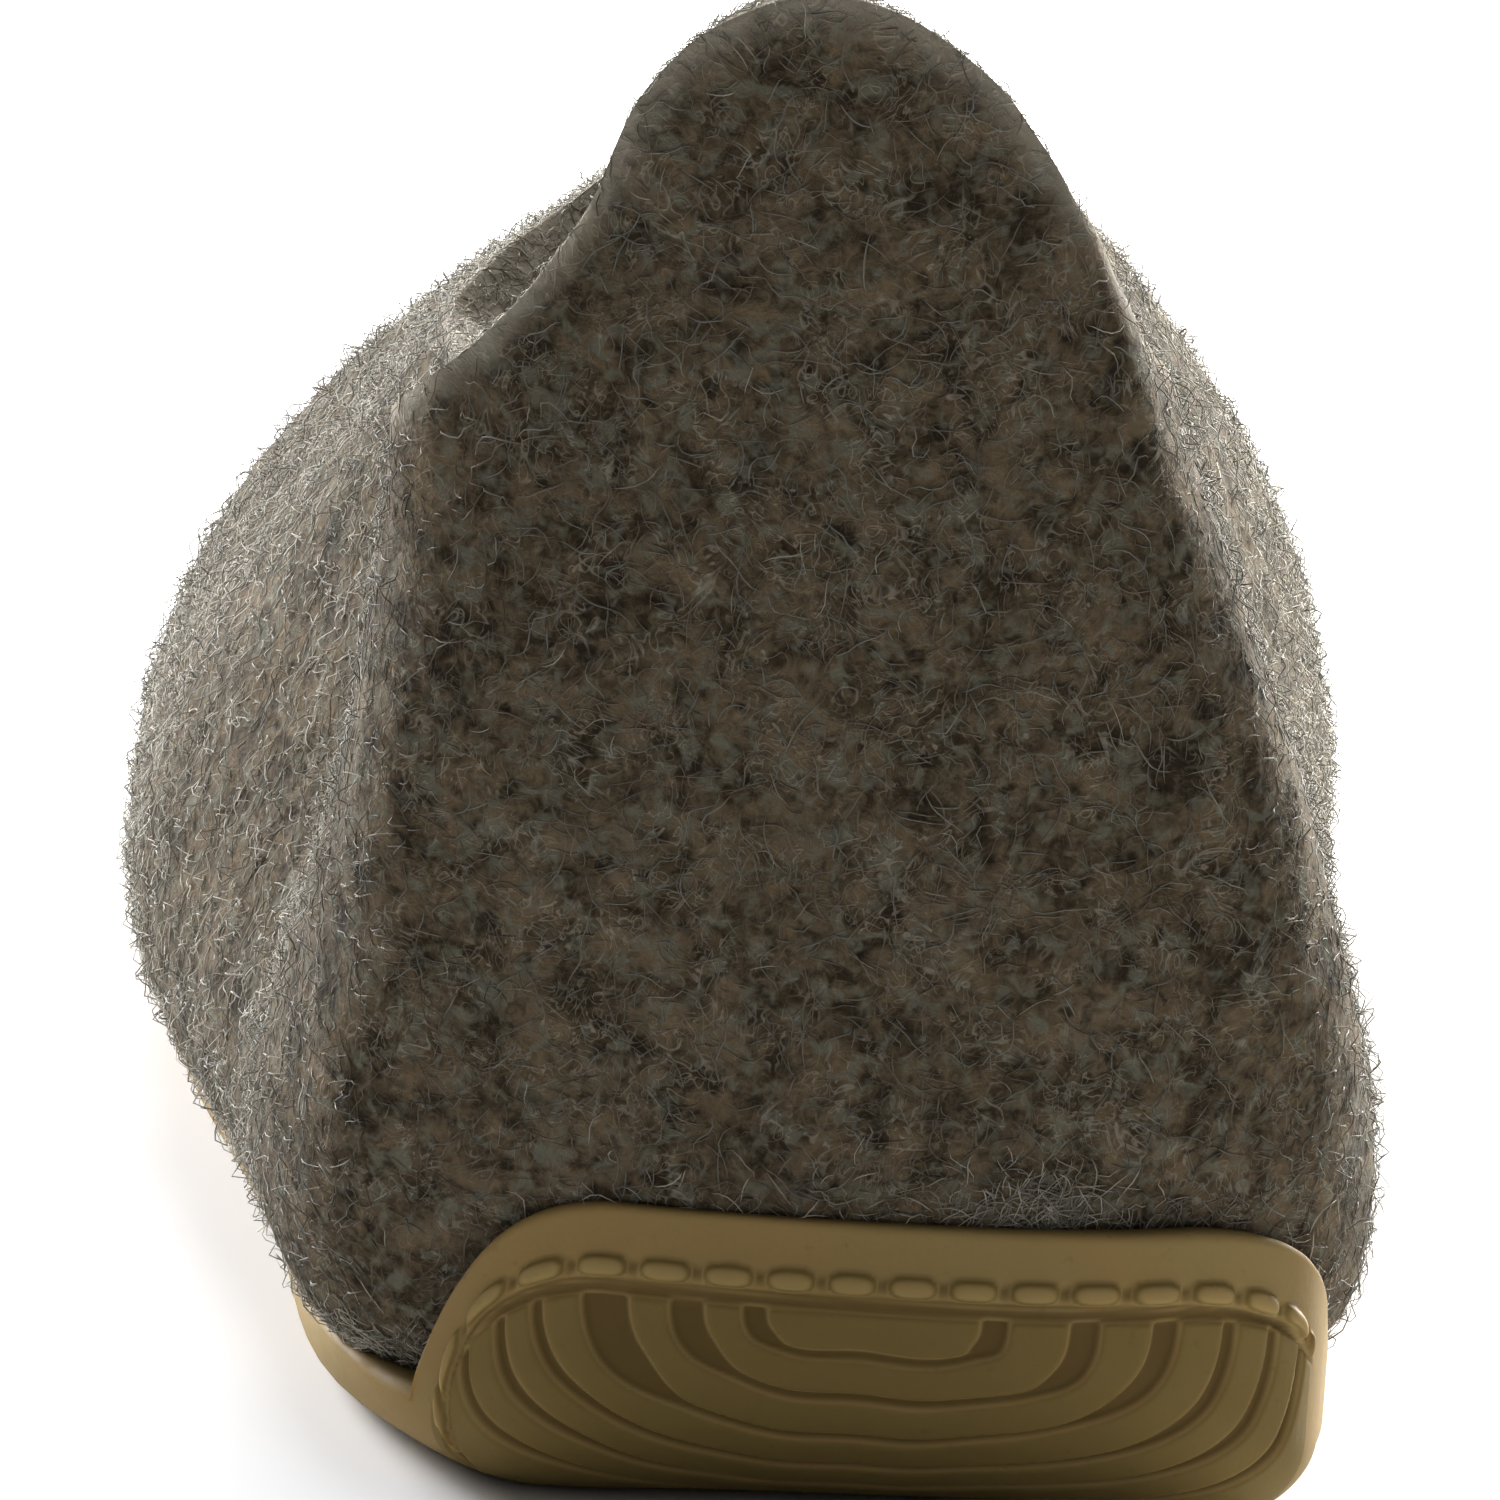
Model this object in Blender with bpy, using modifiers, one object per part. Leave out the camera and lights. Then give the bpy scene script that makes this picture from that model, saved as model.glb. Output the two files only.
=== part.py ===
"""Felted wool house shoe for the left foot: a seamless felt upper, a gum-rubber outsole
with a turned-up heel shield, and a felt insole.

Metres, +Z up. +Y runs from the heel to the toe, +X to the inner side of the foot.
The origin is on the floor, under the middle of the shoe.
"""

import math
from collections import namedtuple

import bmesh
import bpy
import numpy as np

MM = 0.001

# Driving dimensions
SHOE_LENGTH = 258 * MM        # outsole, heel to toe
BALL_WIDTH = 94 * MM          # outsole, across the ball
HEEL_HEIGHT = 108 * MM        # floor to the top of the heel tab
INSTEP_HEIGHT = 80 * MM       # floor to the peak of the throat
FELT_THICKNESS = 4.5 * MM
SOLE_THICKNESS = 6.0 * MM     # floor to the bed that the felt stands on
SHIELD_HEIGHT = 23.2 * MM     # floor to the top edge of the rubber at the heel
LIP_HEIGHT = 6.8 * MM         # floor to the top edge of the rubber along the sides
LIP_EDGE = 0.6 * MM           # least stretch of the rubber between its top edge and its round
INSOLE_THICKNESS = 3.0 * MM
PIECE_GAP = 0.3 * MM

# Places along the foot, as shares of the length from the heel
TOE_SPRING_START = 0.78
ARCH_START = 0.30
ARCH_END = 0.56
TOE_SPRING = 9.0 * MM
ARCH_RISE = 2.0 * MM

# The shield's top edge falls to the lip between these distances from the back of the heel
SHIELD_FULL = 2.4 * MM
SHIELD_END_OUTER = 11.8 * MM
SHIELD_END_INNER = 24.0 * MM
SHIELD_SHOULDER = 1.5         # exponent of that fall

# Heel grooves: nested U shapes on the skin of the shield
GROOVE_COUNT = 5
GROOVE_RADIUS = 1.0 * MM
GROOVE_CENTRE = 2.1 * MM      # towards the outer side
GROOVE_TOP = 6.6 * MM         # below the top edge of the rubber
GROOVE_HALF_WIDTH = 8.3 * MM  # innermost groove
GROOVE_DEPTH = 3.2 * MM       # innermost groove, down the skin
GROOVE_STEP_SIDE = 5.4 * MM
GROOVE_STEP_DOWN = 3.75 * MM
GROOVE_SQUARENESS = 2.6       # exponent of the U's superellipse
GROOVE_POINTS = 17

# Step line under the plain band along the top of the shield
BAND_HEIGHT = 4.9 * MM        # top edge of the rubber to the line
BAND_RADIUS = 0.5 * MM
BAND_HALF_WIDTH = 30.0 * MM
BAND_BEND = 5.0 * MM          # fall of the line at its two ends
BAND_BEND_POWER = 5
BAND_POINTS = 25

# Resolution
WALL_ROWS = 15
ROLL_ROWS = 6
CUP_ROWS = 3
RIM_ROUND = 1.3 * MM
RIM_ANGLE = math.radians(60)
ROD_RESOLUTION = 1
TANGENT_STEP = 0.2 * MM
FOOT_SHARE = 0.6              # part of the wall that the rubber can reach
FOOT_SAMPLES = 61
WELD = 0.01 * MM

INSOLE_MARGIN = 5.2 * MM      # insole edge, in from the felt's outer foot line

# One row for each section of the last, once round the shoe from the back of the heel,
# along the outer side to the toe and back along the inner side. Millimetres, drawn for
# the DRAWN sizes below and stretched from them to the driving dimensions.
#   edge_x, edge_y   widest line of the outsole
#   tuck             felt's foot, in from that line
#   swell, rise      pull of the wall at its foot, outwards and upwards
#   collar_x, y, z   point on the collar
#   lead_x, lead_y   pull of the wall at the collar, along the floor
#   fall             the same pull, downwards
#   roll             radius of the outsole's lower edge
#   cuts             columns of faces up to the next row
DRAWN_LENGTH = 258
DRAWN_BALL = 94
DRAWN_HEEL = 108
DRAWN_INSTEP = 80
Section = namedtuple(
    "Section",
    "place edge_x edge_y tuck swell rise collar_x collar_y collar_z lead_x lead_y fall roll cuts",
)
SECTIONS = (
    Section("heel back", 0, 0, 8, 14, 23, -11.5, 4, 108, 4, -4, 42, 17, 4),
    Section("outer tab", -14, 1.2, 8, 14, 23, -22.8, 5.5, 101.2, 1, -4, 40, 15, 6),
    Section("outer tab root", -29.4, 6.8, 9.2, 16, 20, -28, 8.5, 88, -9, -4.5, 34, 10, 5),
    Section("outer heel", -35.8, 18, 3.9, 14, 4, -36, 13.5, 78.5, -1, -4, 27, 8.5, 3),
    Section("outer rear quarter", -38.9, 34, 3.2, 16.5, 4, -37.8, 28.5, 73, 2.5, -2.5, 24, 5.5, 3),
    Section("outer quarter", -40.1, 60, 3.2, 21, 5, -32, 60, 70.5, 0, 1, 22, 5, 4),
    Section("outer waist", -43.8, 98, 3.5, 22.5, 6, -31, 84, 68.5, -6, 6, 18, 5, 6),
    Section("outer ball", -47.4, 150, 3.6, 17.2, 10, -25, 99, 71.5, -11, 17, 18, 5, 5),
    Section("outer fore part", -43.5, 200, 3.5, 15, 20, -17, 110, 76, -11.5, 38, 20, 5, 5),
    Section("outer toe", -28, 240, 4.5, 15, 28, -9, 116, 79, -9, 56, 23, 5, 5),
    Section("toe tip", 3, 258, 4.5, 16, 31, -1, 118, 80, 2, 64, 23, 5.5, 5),
    Section("inner toe", 33, 241, 4.5, 15, 28, 7, 116, 79.5, 12, 56, 23, 5, 5),
    Section("inner fore part", 45, 208, 3.5, 12.5, 20, 13.5, 110, 77, 17, 38, 20, 5, 5),
    Section("inner ball", 45, 176, 3, 11, 13, 17, 99, 71, 17, 22, 17, 5, 6),
    Section("inner waist", 37, 112, 3, 13.5, 13, 18, 84, 67, 11, 8, 18, 5, 4),
    Section("inner quarter", 34, 62, 3, 14.5, 13, 18, 62, 69.5, 9, 2, 24, 5, 4),
    Section("inner heel", 32.4, 26, 3.6, 15.5, 9, 17, 31, 78, 10.5, -3, 30, 6, 6),
    Section("inner tab root", 27, 7, 8.4, 14, 20, 10.5, 10, 88, 15.5, -5, 34, 8, 6),
    Section("inner tab", 14, 0.7, 8, 14, 23, 2, 5.5, 101.5, 6, -4, 40, 16, 4),
)


def closed_spline(knots, values, period, at):
    """Smooth closed curve through values at knots, read at the given parameters."""
    steps = np.diff(np.append(knots, knots[0] + period))
    count = len(knots)
    matrix = np.zeros((count, count))
    rises = np.diff(np.vstack([values, values[:1]]), axis=0)
    wanted = np.zeros_like(values)
    for i in range(count):
        before = steps[i - 1]
        after = steps[i]
        matrix[i, i - 1] += after
        matrix[i, i] += 2 * (before + after)
        matrix[i, (i + 1) % count] += before
        wanted[i] = 3 * (after * rises[i - 1] / before + before * rises[i] / after)
    slopes = np.linalg.solve(matrix, wanted)
    at = np.mod(at - knots[0], period) + knots[0]
    span = np.clip(np.searchsorted(knots, at, side="right") - 1, 0, count - 1)
    following = (span + 1) % count
    width = steps[span][:, None]
    t = ((at - knots[span]) / steps[span])[:, None]
    return (
        (2 * t**3 - 3 * t**2 + 1) * values[span]
        + (t**3 - 2 * t**2 + t) * width * slopes[span]
        + (3 * t**2 - 2 * t**3) * values[following]
        + (t**3 - t**2) * width * slopes[following]
    )


def smoothstep(low, high, value):
    share = np.clip((value - low) / (high - low), 0, 1)
    return share * share * (3 - 2 * share)


def stretched_table():
    """The table's columns in metres, stretched to the driving dimensions."""
    columns = Section._fields[1:-1]
    rows = np.array([row[1:-1] for row in SECTIONS], dtype=float) * MM
    table = dict(zip(columns, rows.T))
    along = SHOE_LENGTH / (DRAWN_LENGTH * MM)
    across = BALL_WIDTH / (DRAWN_BALL * MM)
    heel_up = HEEL_HEIGHT / (DRAWN_HEEL * MM)
    instep_up = INSTEP_HEIGHT / (DRAWN_INSTEP * MM)
    forward = smoothstep(0, table["collar_y"].max(), table["collar_y"])
    table["collar_z"] *= heel_up + (instep_up - heel_up) * forward
    for name in ("edge_x", "collar_x"):
        table[name] *= across
    for name in ("edge_y", "collar_y"):
        table[name] *= along
    return np.column_stack([table[name] for name in columns])


def toe_lift(y):
    """Height of the outsole's lowest line over the floor ahead of the ball."""
    start = TOE_SPRING_START * SHOE_LENGTH
    share = np.clip((y - start) / (SHOE_LENGTH - start), 0, None)
    return TOE_SPRING * share**2


def arch_lift(y):
    """Hollow under the waist."""
    share = np.clip((y / SHOE_LENGTH - ARCH_START) / (ARCH_END - ARCH_START), 0, 1)
    return ARCH_RISE * np.sin(math.pi * share) ** 2


class Last:
    """The shoe's form: its sections blended smoothly all the way round."""

    def __init__(self):
        self.table = stretched_table()
        ends = np.vstack([self.table[:, :2], self.table[:1, :2]])
        lengths = np.hypot(*np.diff(ends, axis=0).T)
        self.period = lengths.sum()
        self.knots = np.concatenate([[0], np.cumsum(lengths)[:-1]])
        self.columns = self.column_places()

    def column_places(self):
        """Parameter of each column of faces, row by row of the table."""
        stops = np.append(self.knots, self.period)
        places = [
            np.linspace(stops[i], stops[i + 1], row.cuts, endpoint=False)
            for i, row in enumerate(SECTIONS)
        ]
        return np.concatenate(places)

    def read(self, at):
        values = closed_spline(self.knots, self.table, self.period, at)
        return Section._make([None, *values.T, None])

    def outward(self, at):
        """Unit direction out of the sole, along the floor."""
        ahead = self.read(at + TANGENT_STEP)
        behind = self.read(at - TANGENT_STEP)
        run_x = ahead.edge_x - behind.edge_x
        run_y = ahead.edge_y - behind.edge_y
        length = np.hypot(run_x, run_y)
        # The rows run clockwise seen from above, so outwards is to the left of the run.
        return np.stack([-run_y, run_x], axis=1) / length[:, None]

    def wall(self, at, share):
        """Point on the felt's outer face, share 0 at its foot and 1 at the collar."""
        row = self.read(at)
        out = self.outward(at)
        foot = np.stack([row.edge_x, row.edge_y, np.zeros_like(row.edge_x)], axis=1)
        foot[:, :2] -= out * row.tuck[:, None]
        foot[:, 2] = SOLE_THICKNESS + PIECE_GAP + toe_lift(foot[:, 1])
        pull = np.column_stack([out * row.swell[:, None], row.rise])
        collar = np.stack([row.collar_x, row.collar_y, row.collar_z], axis=1)
        lead = np.stack([row.lead_x, row.lead_y, -row.fall], axis=1)
        s = np.asarray(share)[..., None]
        return (
            (1 - s) ** 3 * foot
            + 3 * s * (1 - s) ** 2 * (foot + pull)
            + 3 * s**2 * (1 - s) * (collar + lead)
            + s**3 * collar
        )

    def wall_at_height(self, at, height):
        """Point on the felt's outer face at a height, one height for each parameter."""
        shares = np.linspace(0, FOOT_SHARE, FOOT_SAMPLES)
        faces = np.stack([self.wall(at, np.full(len(at), share)) for share in shares])
        found = [
            np.interp(height[i], faces[:, i, 2], shares) for i in range(len(at))
        ]
        return self.wall(at, np.array(found))

    def lip_height(self, at):
        """Top edge of the rubber over the floor."""
        row = self.read(at)
        end = np.where(row.edge_x < 0, SHIELD_END_OUTER, SHIELD_END_INNER)
        along = np.clip((row.edge_y - SHIELD_FULL) / (end - SHIELD_FULL), 0, 1)
        shield = 1 - along**SHIELD_SHOULDER
        low = LIP_HEIGHT + toe_lift(row.edge_y)
        return low + (SHIELD_HEIGHT - LIP_HEIGHT) * shield

    def sole_skin(self, at, down):
        """Point on the outsole's outer face, down metres below its top edge."""
        row = self.read(at)
        out = self.outward(at)
        floor = toe_lift(row.edge_y)
        upright = self.lip_height(at) - floor - row.roll
        turn = np.clip((down - upright) / row.roll, 0, math.pi / 2)
        inset = row.roll * (1 - np.cos(turn))
        height = floor + row.roll * (1 - np.sin(turn)) + np.clip(upright - down, 0, None)
        beyond = np.clip(down - upright - row.roll * math.pi / 2, 0, None)
        inset = inset + beyond
        edge = np.stack([row.edge_x, row.edge_y], axis=1) - out * inset[:, None]
        return np.column_stack([edge, height])


def loft(rings, close_first, close_last):
    """Mesh through closed rings of points, its ends left open or filled."""
    mesh = bmesh.new()
    loops = [[mesh.verts.new(point) for point in ring] for ring in rings]
    count = len(loops[0])
    for lower, upper in zip(loops, loops[1:]):
        for i in range(count):
            j = (i + 1) % count
            mesh.faces.new((lower[i], upper[i], upper[j], lower[j]))
    if close_first:
        fill(mesh, loops[0])
    if close_last:
        fill(mesh, loops[-1])
    return mesh


def fill(mesh, loop):
    """Close a ring with triangles between its own points."""
    edges = [mesh.edges.get(pair) for pair in zip(loop, loop[1:] + loop[:1])]
    bmesh.ops.triangle_fill(mesh, use_beauty=True, edges=edges)


def add_object(name, mesh, collection, material=None):
    data = bpy.data.meshes.new(name)
    mesh.to_mesh(data)
    mesh.free()
    obj = bpy.data.objects.new(name, data)
    collection.objects.link(obj)
    if material:
        data.materials.append(material)
        data.shade_smooth()
    return obj


def principled(name, color, roughness):
    material = bpy.data.materials.new(name)
    material.use_nodes = True
    shader = material.node_tree.nodes["Principled BSDF"]
    shader.inputs["Base Color"].default_value = (*color, 1)
    shader.inputs["Roughness"].default_value = roughness
    shader.inputs["Metallic"].default_value = 0.0
    return material


def make_upper(last, collection):
    """Felt shell: the last's wall from its foot to the collar, thickened inwards."""
    shares = np.linspace(0, 1, WALL_ROWS + 1)
    at = last.columns
    rings = [last.wall(at, np.full(len(at), share)) for share in shares]
    mesh = loft(rings, False, False)
    obj = add_object("upper", mesh, collection, principled("wool felt", (0.16, 0.14, 0.115), 0.95))
    shell = obj.modifiers.new("felt thickness", "SOLIDIFY")
    shell.thickness = FELT_THICKNESS
    shell.offset = -1
    shell.use_even_offset = True
    soften = obj.modifiers.new("soft cut edges", "BEVEL")
    soften.limit_method = "ANGLE"
    soften.angle_limit = RIM_ANGLE
    soften.width = RIM_ROUND
    soften.segments = 2
    return obj


def sole_rings(last):
    """Rings from the felt's bed, up inside the cup, over the lip and down the skin."""
    at = last.columns
    lip = last.lip_height(at)
    foot = last.wall(at, np.zeros(len(at)))
    bed = foot[:, 2] - PIECE_GAP
    out = np.column_stack([last.outward(at), np.zeros(len(at))])
    rings = []
    for share in np.linspace(0, 1, CUP_ROWS + 1):
        height = bed + PIECE_GAP + (lip - bed - PIECE_GAP) * share
        ring = last.wall_at_height(at, height) + out * PIECE_GAP
        ring[:, 2] = bed + (lip - bed) * share
        rings.append(ring)
    row = last.read(at)
    upright = lip - toe_lift(row.edge_y) - row.roll
    start = np.maximum(upright, LIP_EDGE)
    end = upright + row.roll * math.pi / 2
    rings.append(last.sole_skin(at, np.zeros(len(at))))
    for share in np.linspace(0, 1, ROLL_ROWS + 1):
        rings.append(last.sole_skin(at, start + (end - start) * share))
    bottom = rings[-1]
    bottom[:, 2] += arch_lift(bottom[:, 1])
    return rings


def make_groove_cutters(last, collection):
    """Nested U-shaped rods and the band's line, lying half in the skin of the heel shield."""
    cutters = []
    turn = np.linspace(0, math.pi, GROOVE_POINTS)
    power = 2 / GROOVE_SQUARENESS
    aside = np.sign(np.cos(turn)) * np.abs(np.cos(turn)) ** power
    drop = np.sin(turn) ** power
    for k in range(GROOVE_COUNT):
        half_width = GROOVE_HALF_WIDTH + GROOVE_STEP_SIDE * k
        depth = GROOVE_DEPTH + GROOVE_STEP_DOWN * k
        points = last.sole_skin(half_width * aside + GROOVE_CENTRE, GROOVE_TOP + depth * drop)
        cutters.append(make_rod(f"groove {k}", points, GROOVE_RADIUS, collection))
    share = np.linspace(-1, 1, BAND_POINTS)
    down = BAND_HEIGHT + BAND_BEND * np.abs(share) ** BAND_BEND_POWER
    points = last.sole_skin(BAND_HALF_WIDTH * share + GROOVE_CENTRE, down)
    cutters.append(make_rod("band line", points, BAND_RADIUS, collection))
    return cutters


def make_rod(name, points, radius, collection):
    """Round bar along the points, as a cutter."""
    curve = bpy.data.curves.new(name, "CURVE")
    curve.dimensions = "3D"
    curve.bevel_depth = radius
    curve.bevel_resolution = ROD_RESOLUTION
    curve.use_fill_caps = True
    spline = curve.splines.new("POLY")
    spline.points.add(len(points) - 1)
    for spot, point in zip(spline.points, points):
        spot.co = (*point, 1)
    return solid_from_curve(curve, collection)


def solid_from_curve(curve, collection):
    """Mesh object of a bevelled curve, its caps welded."""
    guide = bpy.data.objects.new(curve.name, curve)
    collection.objects.link(guide)
    graph = bpy.context.evaluated_depsgraph_get()
    data = bpy.data.meshes.new_from_object(guide.evaluated_get(graph))
    mesh = bmesh.new()
    mesh.from_mesh(data)
    bmesh.ops.remove_doubles(mesh, verts=mesh.verts, dist=WELD)
    bmesh.ops.recalc_face_normals(mesh, faces=mesh.faces)
    mesh.to_mesh(data)
    mesh.free()
    cutter = bpy.data.objects.new(f"{curve.name} cutter", data)
    cutter.hide_render = True
    cutter.display_type = "WIRE"
    collection.objects.link(cutter)
    bpy.data.objects.remove(guide)
    return cutter


def make_outsole(last, grooves, collection):
    mesh = loft(sole_rings(last), True, True)
    bmesh.ops.recalc_face_normals(mesh, faces=mesh.faces)
    obj = add_object("outsole", mesh, collection, principled("gum rubber", (0.20, 0.13, 0.05), 0.45))
    for cutter in grooves:
        cut = obj.modifiers.new(cutter.name, "BOOLEAN")
        cut.operation = "DIFFERENCE"
        cut.object = cutter
    return obj


def make_insole(last, collection):
    at = last.columns
    row = last.read(at)
    inset = row.tuck + INSOLE_MARGIN
    edge = np.stack([row.edge_x, row.edge_y], axis=1) - last.outward(at) * inset[:, None]
    bed = SOLE_THICKNESS + PIECE_GAP + toe_lift(edge[:, 1])
    low = np.column_stack([edge, bed])
    high = np.column_stack([edge, bed + INSOLE_THICKNESS])
    mesh = loft([low, high], True, True)
    bmesh.ops.recalc_face_normals(mesh, faces=mesh.faces)
    obj = add_object("insole", mesh, collection, principled("felt footbed", (0.2, 0.18, 0.15), 0.95))
    soften = obj.modifiers.new("soft edges", "BEVEL")
    soften.limit_method = "ANGLE"
    soften.angle_limit = RIM_ANGLE
    soften.width = RIM_ROUND / 2
    soften.segments = 1
    return obj


def centre_over_origin(pieces, cutters):
    """Hang everything on an empty that brings the middle of the shoe's box over the origin."""
    bpy.context.view_layer.update()
    graph = bpy.context.evaluated_depsgraph_get()
    corners = np.array(
        [tuple(corner) for piece in pieces for corner in piece.evaluated_get(graph).bound_box]
    )
    middle = (corners.min(axis=0) + corners.max(axis=0)) / 2
    frame = bpy.data.objects.new("shoe", None)
    pieces[0].users_collection[0].objects.link(frame)
    frame.location = (-middle[0], -middle[1], 0)
    for obj in pieces + cutters:
        obj.parent = frame


def main():
    for obj in list(bpy.data.objects):
        bpy.data.objects.remove(obj)
    shoe = bpy.data.collections.new("house shoe")
    cutters = bpy.data.collections.new("cutters")
    bpy.context.scene.collection.children.link(shoe)
    bpy.context.scene.collection.children.link(cutters)
    last = Last()
    grooves = make_groove_cutters(last, cutters)
    upper = make_upper(last, shoe)
    outsole = make_outsole(last, grooves, shoe)
    insole = make_insole(last, shoe)
    centre_over_origin([upper, outsole, insole], grooves)


if __name__ == "__main__":
    main()
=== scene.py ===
"""Looks of the felted wool house shoe: matted felt under loose fibres, a moulded gum-rubber
sole and a felt insole, on a pale floor in soft studio light.

Metres, +Z up, +Y from heel to toe, +X to the inner side of the foot.
"""

import math
from collections import namedtuple
from functools import partial

import bmesh
import bpy
import numpy as np
from bpy.props import FloatProperty, FloatVectorProperty, IntProperty, PointerProperty
from mathutils import Matrix, Vector, noise
from mathutils.bvhtree import BVHTree
from mathutils.kdtree import KDTree


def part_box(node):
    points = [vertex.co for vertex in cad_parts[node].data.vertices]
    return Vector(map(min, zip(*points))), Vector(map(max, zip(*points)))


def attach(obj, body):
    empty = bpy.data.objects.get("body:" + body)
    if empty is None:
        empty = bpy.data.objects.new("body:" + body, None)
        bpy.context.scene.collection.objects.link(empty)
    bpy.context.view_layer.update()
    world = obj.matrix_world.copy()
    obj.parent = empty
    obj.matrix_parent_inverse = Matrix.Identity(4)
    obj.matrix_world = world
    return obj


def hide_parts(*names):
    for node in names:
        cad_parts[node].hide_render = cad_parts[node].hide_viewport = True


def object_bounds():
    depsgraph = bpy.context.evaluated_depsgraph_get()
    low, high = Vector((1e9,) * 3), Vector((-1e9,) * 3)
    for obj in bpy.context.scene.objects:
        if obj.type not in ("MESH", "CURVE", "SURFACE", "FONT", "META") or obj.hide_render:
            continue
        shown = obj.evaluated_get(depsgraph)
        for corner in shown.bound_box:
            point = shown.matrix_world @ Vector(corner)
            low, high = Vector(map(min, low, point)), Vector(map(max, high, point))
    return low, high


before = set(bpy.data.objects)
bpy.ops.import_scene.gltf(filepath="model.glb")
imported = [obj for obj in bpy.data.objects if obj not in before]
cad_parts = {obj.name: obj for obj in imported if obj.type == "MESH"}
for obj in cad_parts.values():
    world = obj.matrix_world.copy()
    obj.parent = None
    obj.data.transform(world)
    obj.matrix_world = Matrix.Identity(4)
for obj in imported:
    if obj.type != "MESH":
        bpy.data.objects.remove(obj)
cad_low, cad_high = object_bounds()

bl_info = {
    "name": "Felt house shoe",
    "version": (1, 0, 0),
    "blender": (4, 5, 0),
    "location": "View3D > Sidebar > House shoe",
    "description": "Felt, fibres, rubber and studio for a felted wool house shoe",
    "category": "Object",
}

MM = 0.001
BODY = "root"
SEED = 11
WELD = 0.01 * MM
SEAM_WELD = 0.0001 * MM
TINY = 1e-12
PAIR_ANGLE = math.radians(50)   # most between two triangles that are paired

# Folds of the felt on the back of the heel, in millimetres: height and width of the ridge,
# and the places that it runs through, across and up
Fold = namedtuple("Fold", "name height width places")
FOLDS = (
    Fold("outer root of the tab", 0.5, 3.2, ((-25.5, 88), (-26.5, 72), (-26, 52))),
    Fold("hollow beside it", -0.4, 4.0, ((-20, 88), (-20, 70), (-20, 55))),
    Fold("inner root of the tab", 0.4, 2.0, ((11, 92), (14, 79), (18, 65), (22.5, 52))),
    Fold("hollow beyond it", -0.2, 2.0, ((15, 90), (17.5, 77), (21, 64), (25, 52))),
)
FOLD_FADE = (20.4 * MM, 34 * MM)   # where the folds end, from the back of the heel
# Hollow of the outer side between heel and fore part, its places along from the back of the
# heel and up
QUARTER_HOLLOW = Fold("hollow of the outer quarter", -2.6, 13, ((46, 74), (52, 56), (58, 38)))

# The foot's middle line inside the shoe, heel end and toe end, which tells the felt's outer
# face from its inner one
MIDDLE_HEEL = Vector((-4, -98, 40)) * MM
MIDDLE_TOE = Vector((3, 95, 22)) * MM

# Outline of the sole, once round from the back of the heel by the outer side, in
# millimetres: the widest line and the radius of the lower edge
Edge = namedtuple("Edge", "place x y roll")
SOLE_EDGE = (
    Edge("heel back", 0, 0, 17),
    Edge("outer tab", -14, 1.2, 15),
    Edge("outer tab root", -29.4, 6.8, 10),
    Edge("outer heel", -35.8, 18, 8.5),
    Edge("outer rear quarter", -38.9, 34, 5.5),
    Edge("outer quarter", -40.1, 60, 5),
    Edge("outer waist", -43.8, 98, 5),
    Edge("outer ball", -47.4, 150, 5),
    Edge("outer fore part", -43.5, 200, 5),
    Edge("outer toe", -28, 240, 5),
    Edge("toe tip", 3, 258, 5.5),
    Edge("inner toe", 33, 241, 5),
    Edge("inner fore part", 45, 208, 5),
    Edge("inner ball", 45, 176, 5),
    Edge("inner waist", 37, 112, 5),
    Edge("inner quarter", 34, 62, 5),
    Edge("inner heel", 32.4, 26, 6),
    Edge("inner tab root", 27, 7, 8),
    Edge("inner tab", 14, 0.7, 16),
)
OUTLINE_SAMPLES = 2000
TANGENT_STEP = 0.2 * MM
SOLE_LENGTH = 258 * MM
SOLE_BED = 6.0 * MM           # floor to the bed that the felt stands on
SHIELD_HEIGHT = 23.2 * MM     # floor to the top edge of the rubber at the heel
LIP_HEIGHT = 6.8 * MM         # and along the sides
# The top edge falls from one to the other between these distances from the back of the heel
SHIELD_FULL = 2.4 * MM
SHIELD_END_OUTER = 11.8 * MM
SHIELD_END_INNER = 24.0 * MM
SHIELD_SHOULDER = 1.5         # exponent of that fall
TOE_SPRING = 9.0 * MM
TOE_SPRING_START = 0.78       # share of the length
ARCH_RISE = 2.0 * MM
ARCH_START = 0.30             # shares of the length
ARCH_END = 0.56
PIECE_GAP = 0.3 * MM

# Grooves of the heel, nested round a bar, in millimetres along and down the skin: reach,
# width at the upper end and squareness towards the outer and the inner side, and the fall
# and width of the bottom
Groove = namedtuple(
    "Groove",
    "outer_reach inner_reach outer_width inner_width outer_square inner_square fall width",
)
GROOVES = (
    Groove(8.2, 8.6, 1.6, 1.8, 2.8, 4.0, 3.4, 0.60),
    Groove(12.8, 14.9, 2.2, 2.0, 2.3, 3.2, 6.9, 0.65),
    Groove(18.3, 20.6, 3.1, 1.8, 2.1, 2.3, 10.7, 0.55),
    Groove(23.1, 25.6, 0.7, 1.0, 2.0, 2.3, 14.2, 0.55),
    Groove(25.9, 29.9, 0.7, 1.0, 2.0, 2.1, 17.7, 0.50),
    Groove(28.8, 33.9, 0.6, 0.8, 2.0, 2.0, 21.2, 0.50),
)
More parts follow.
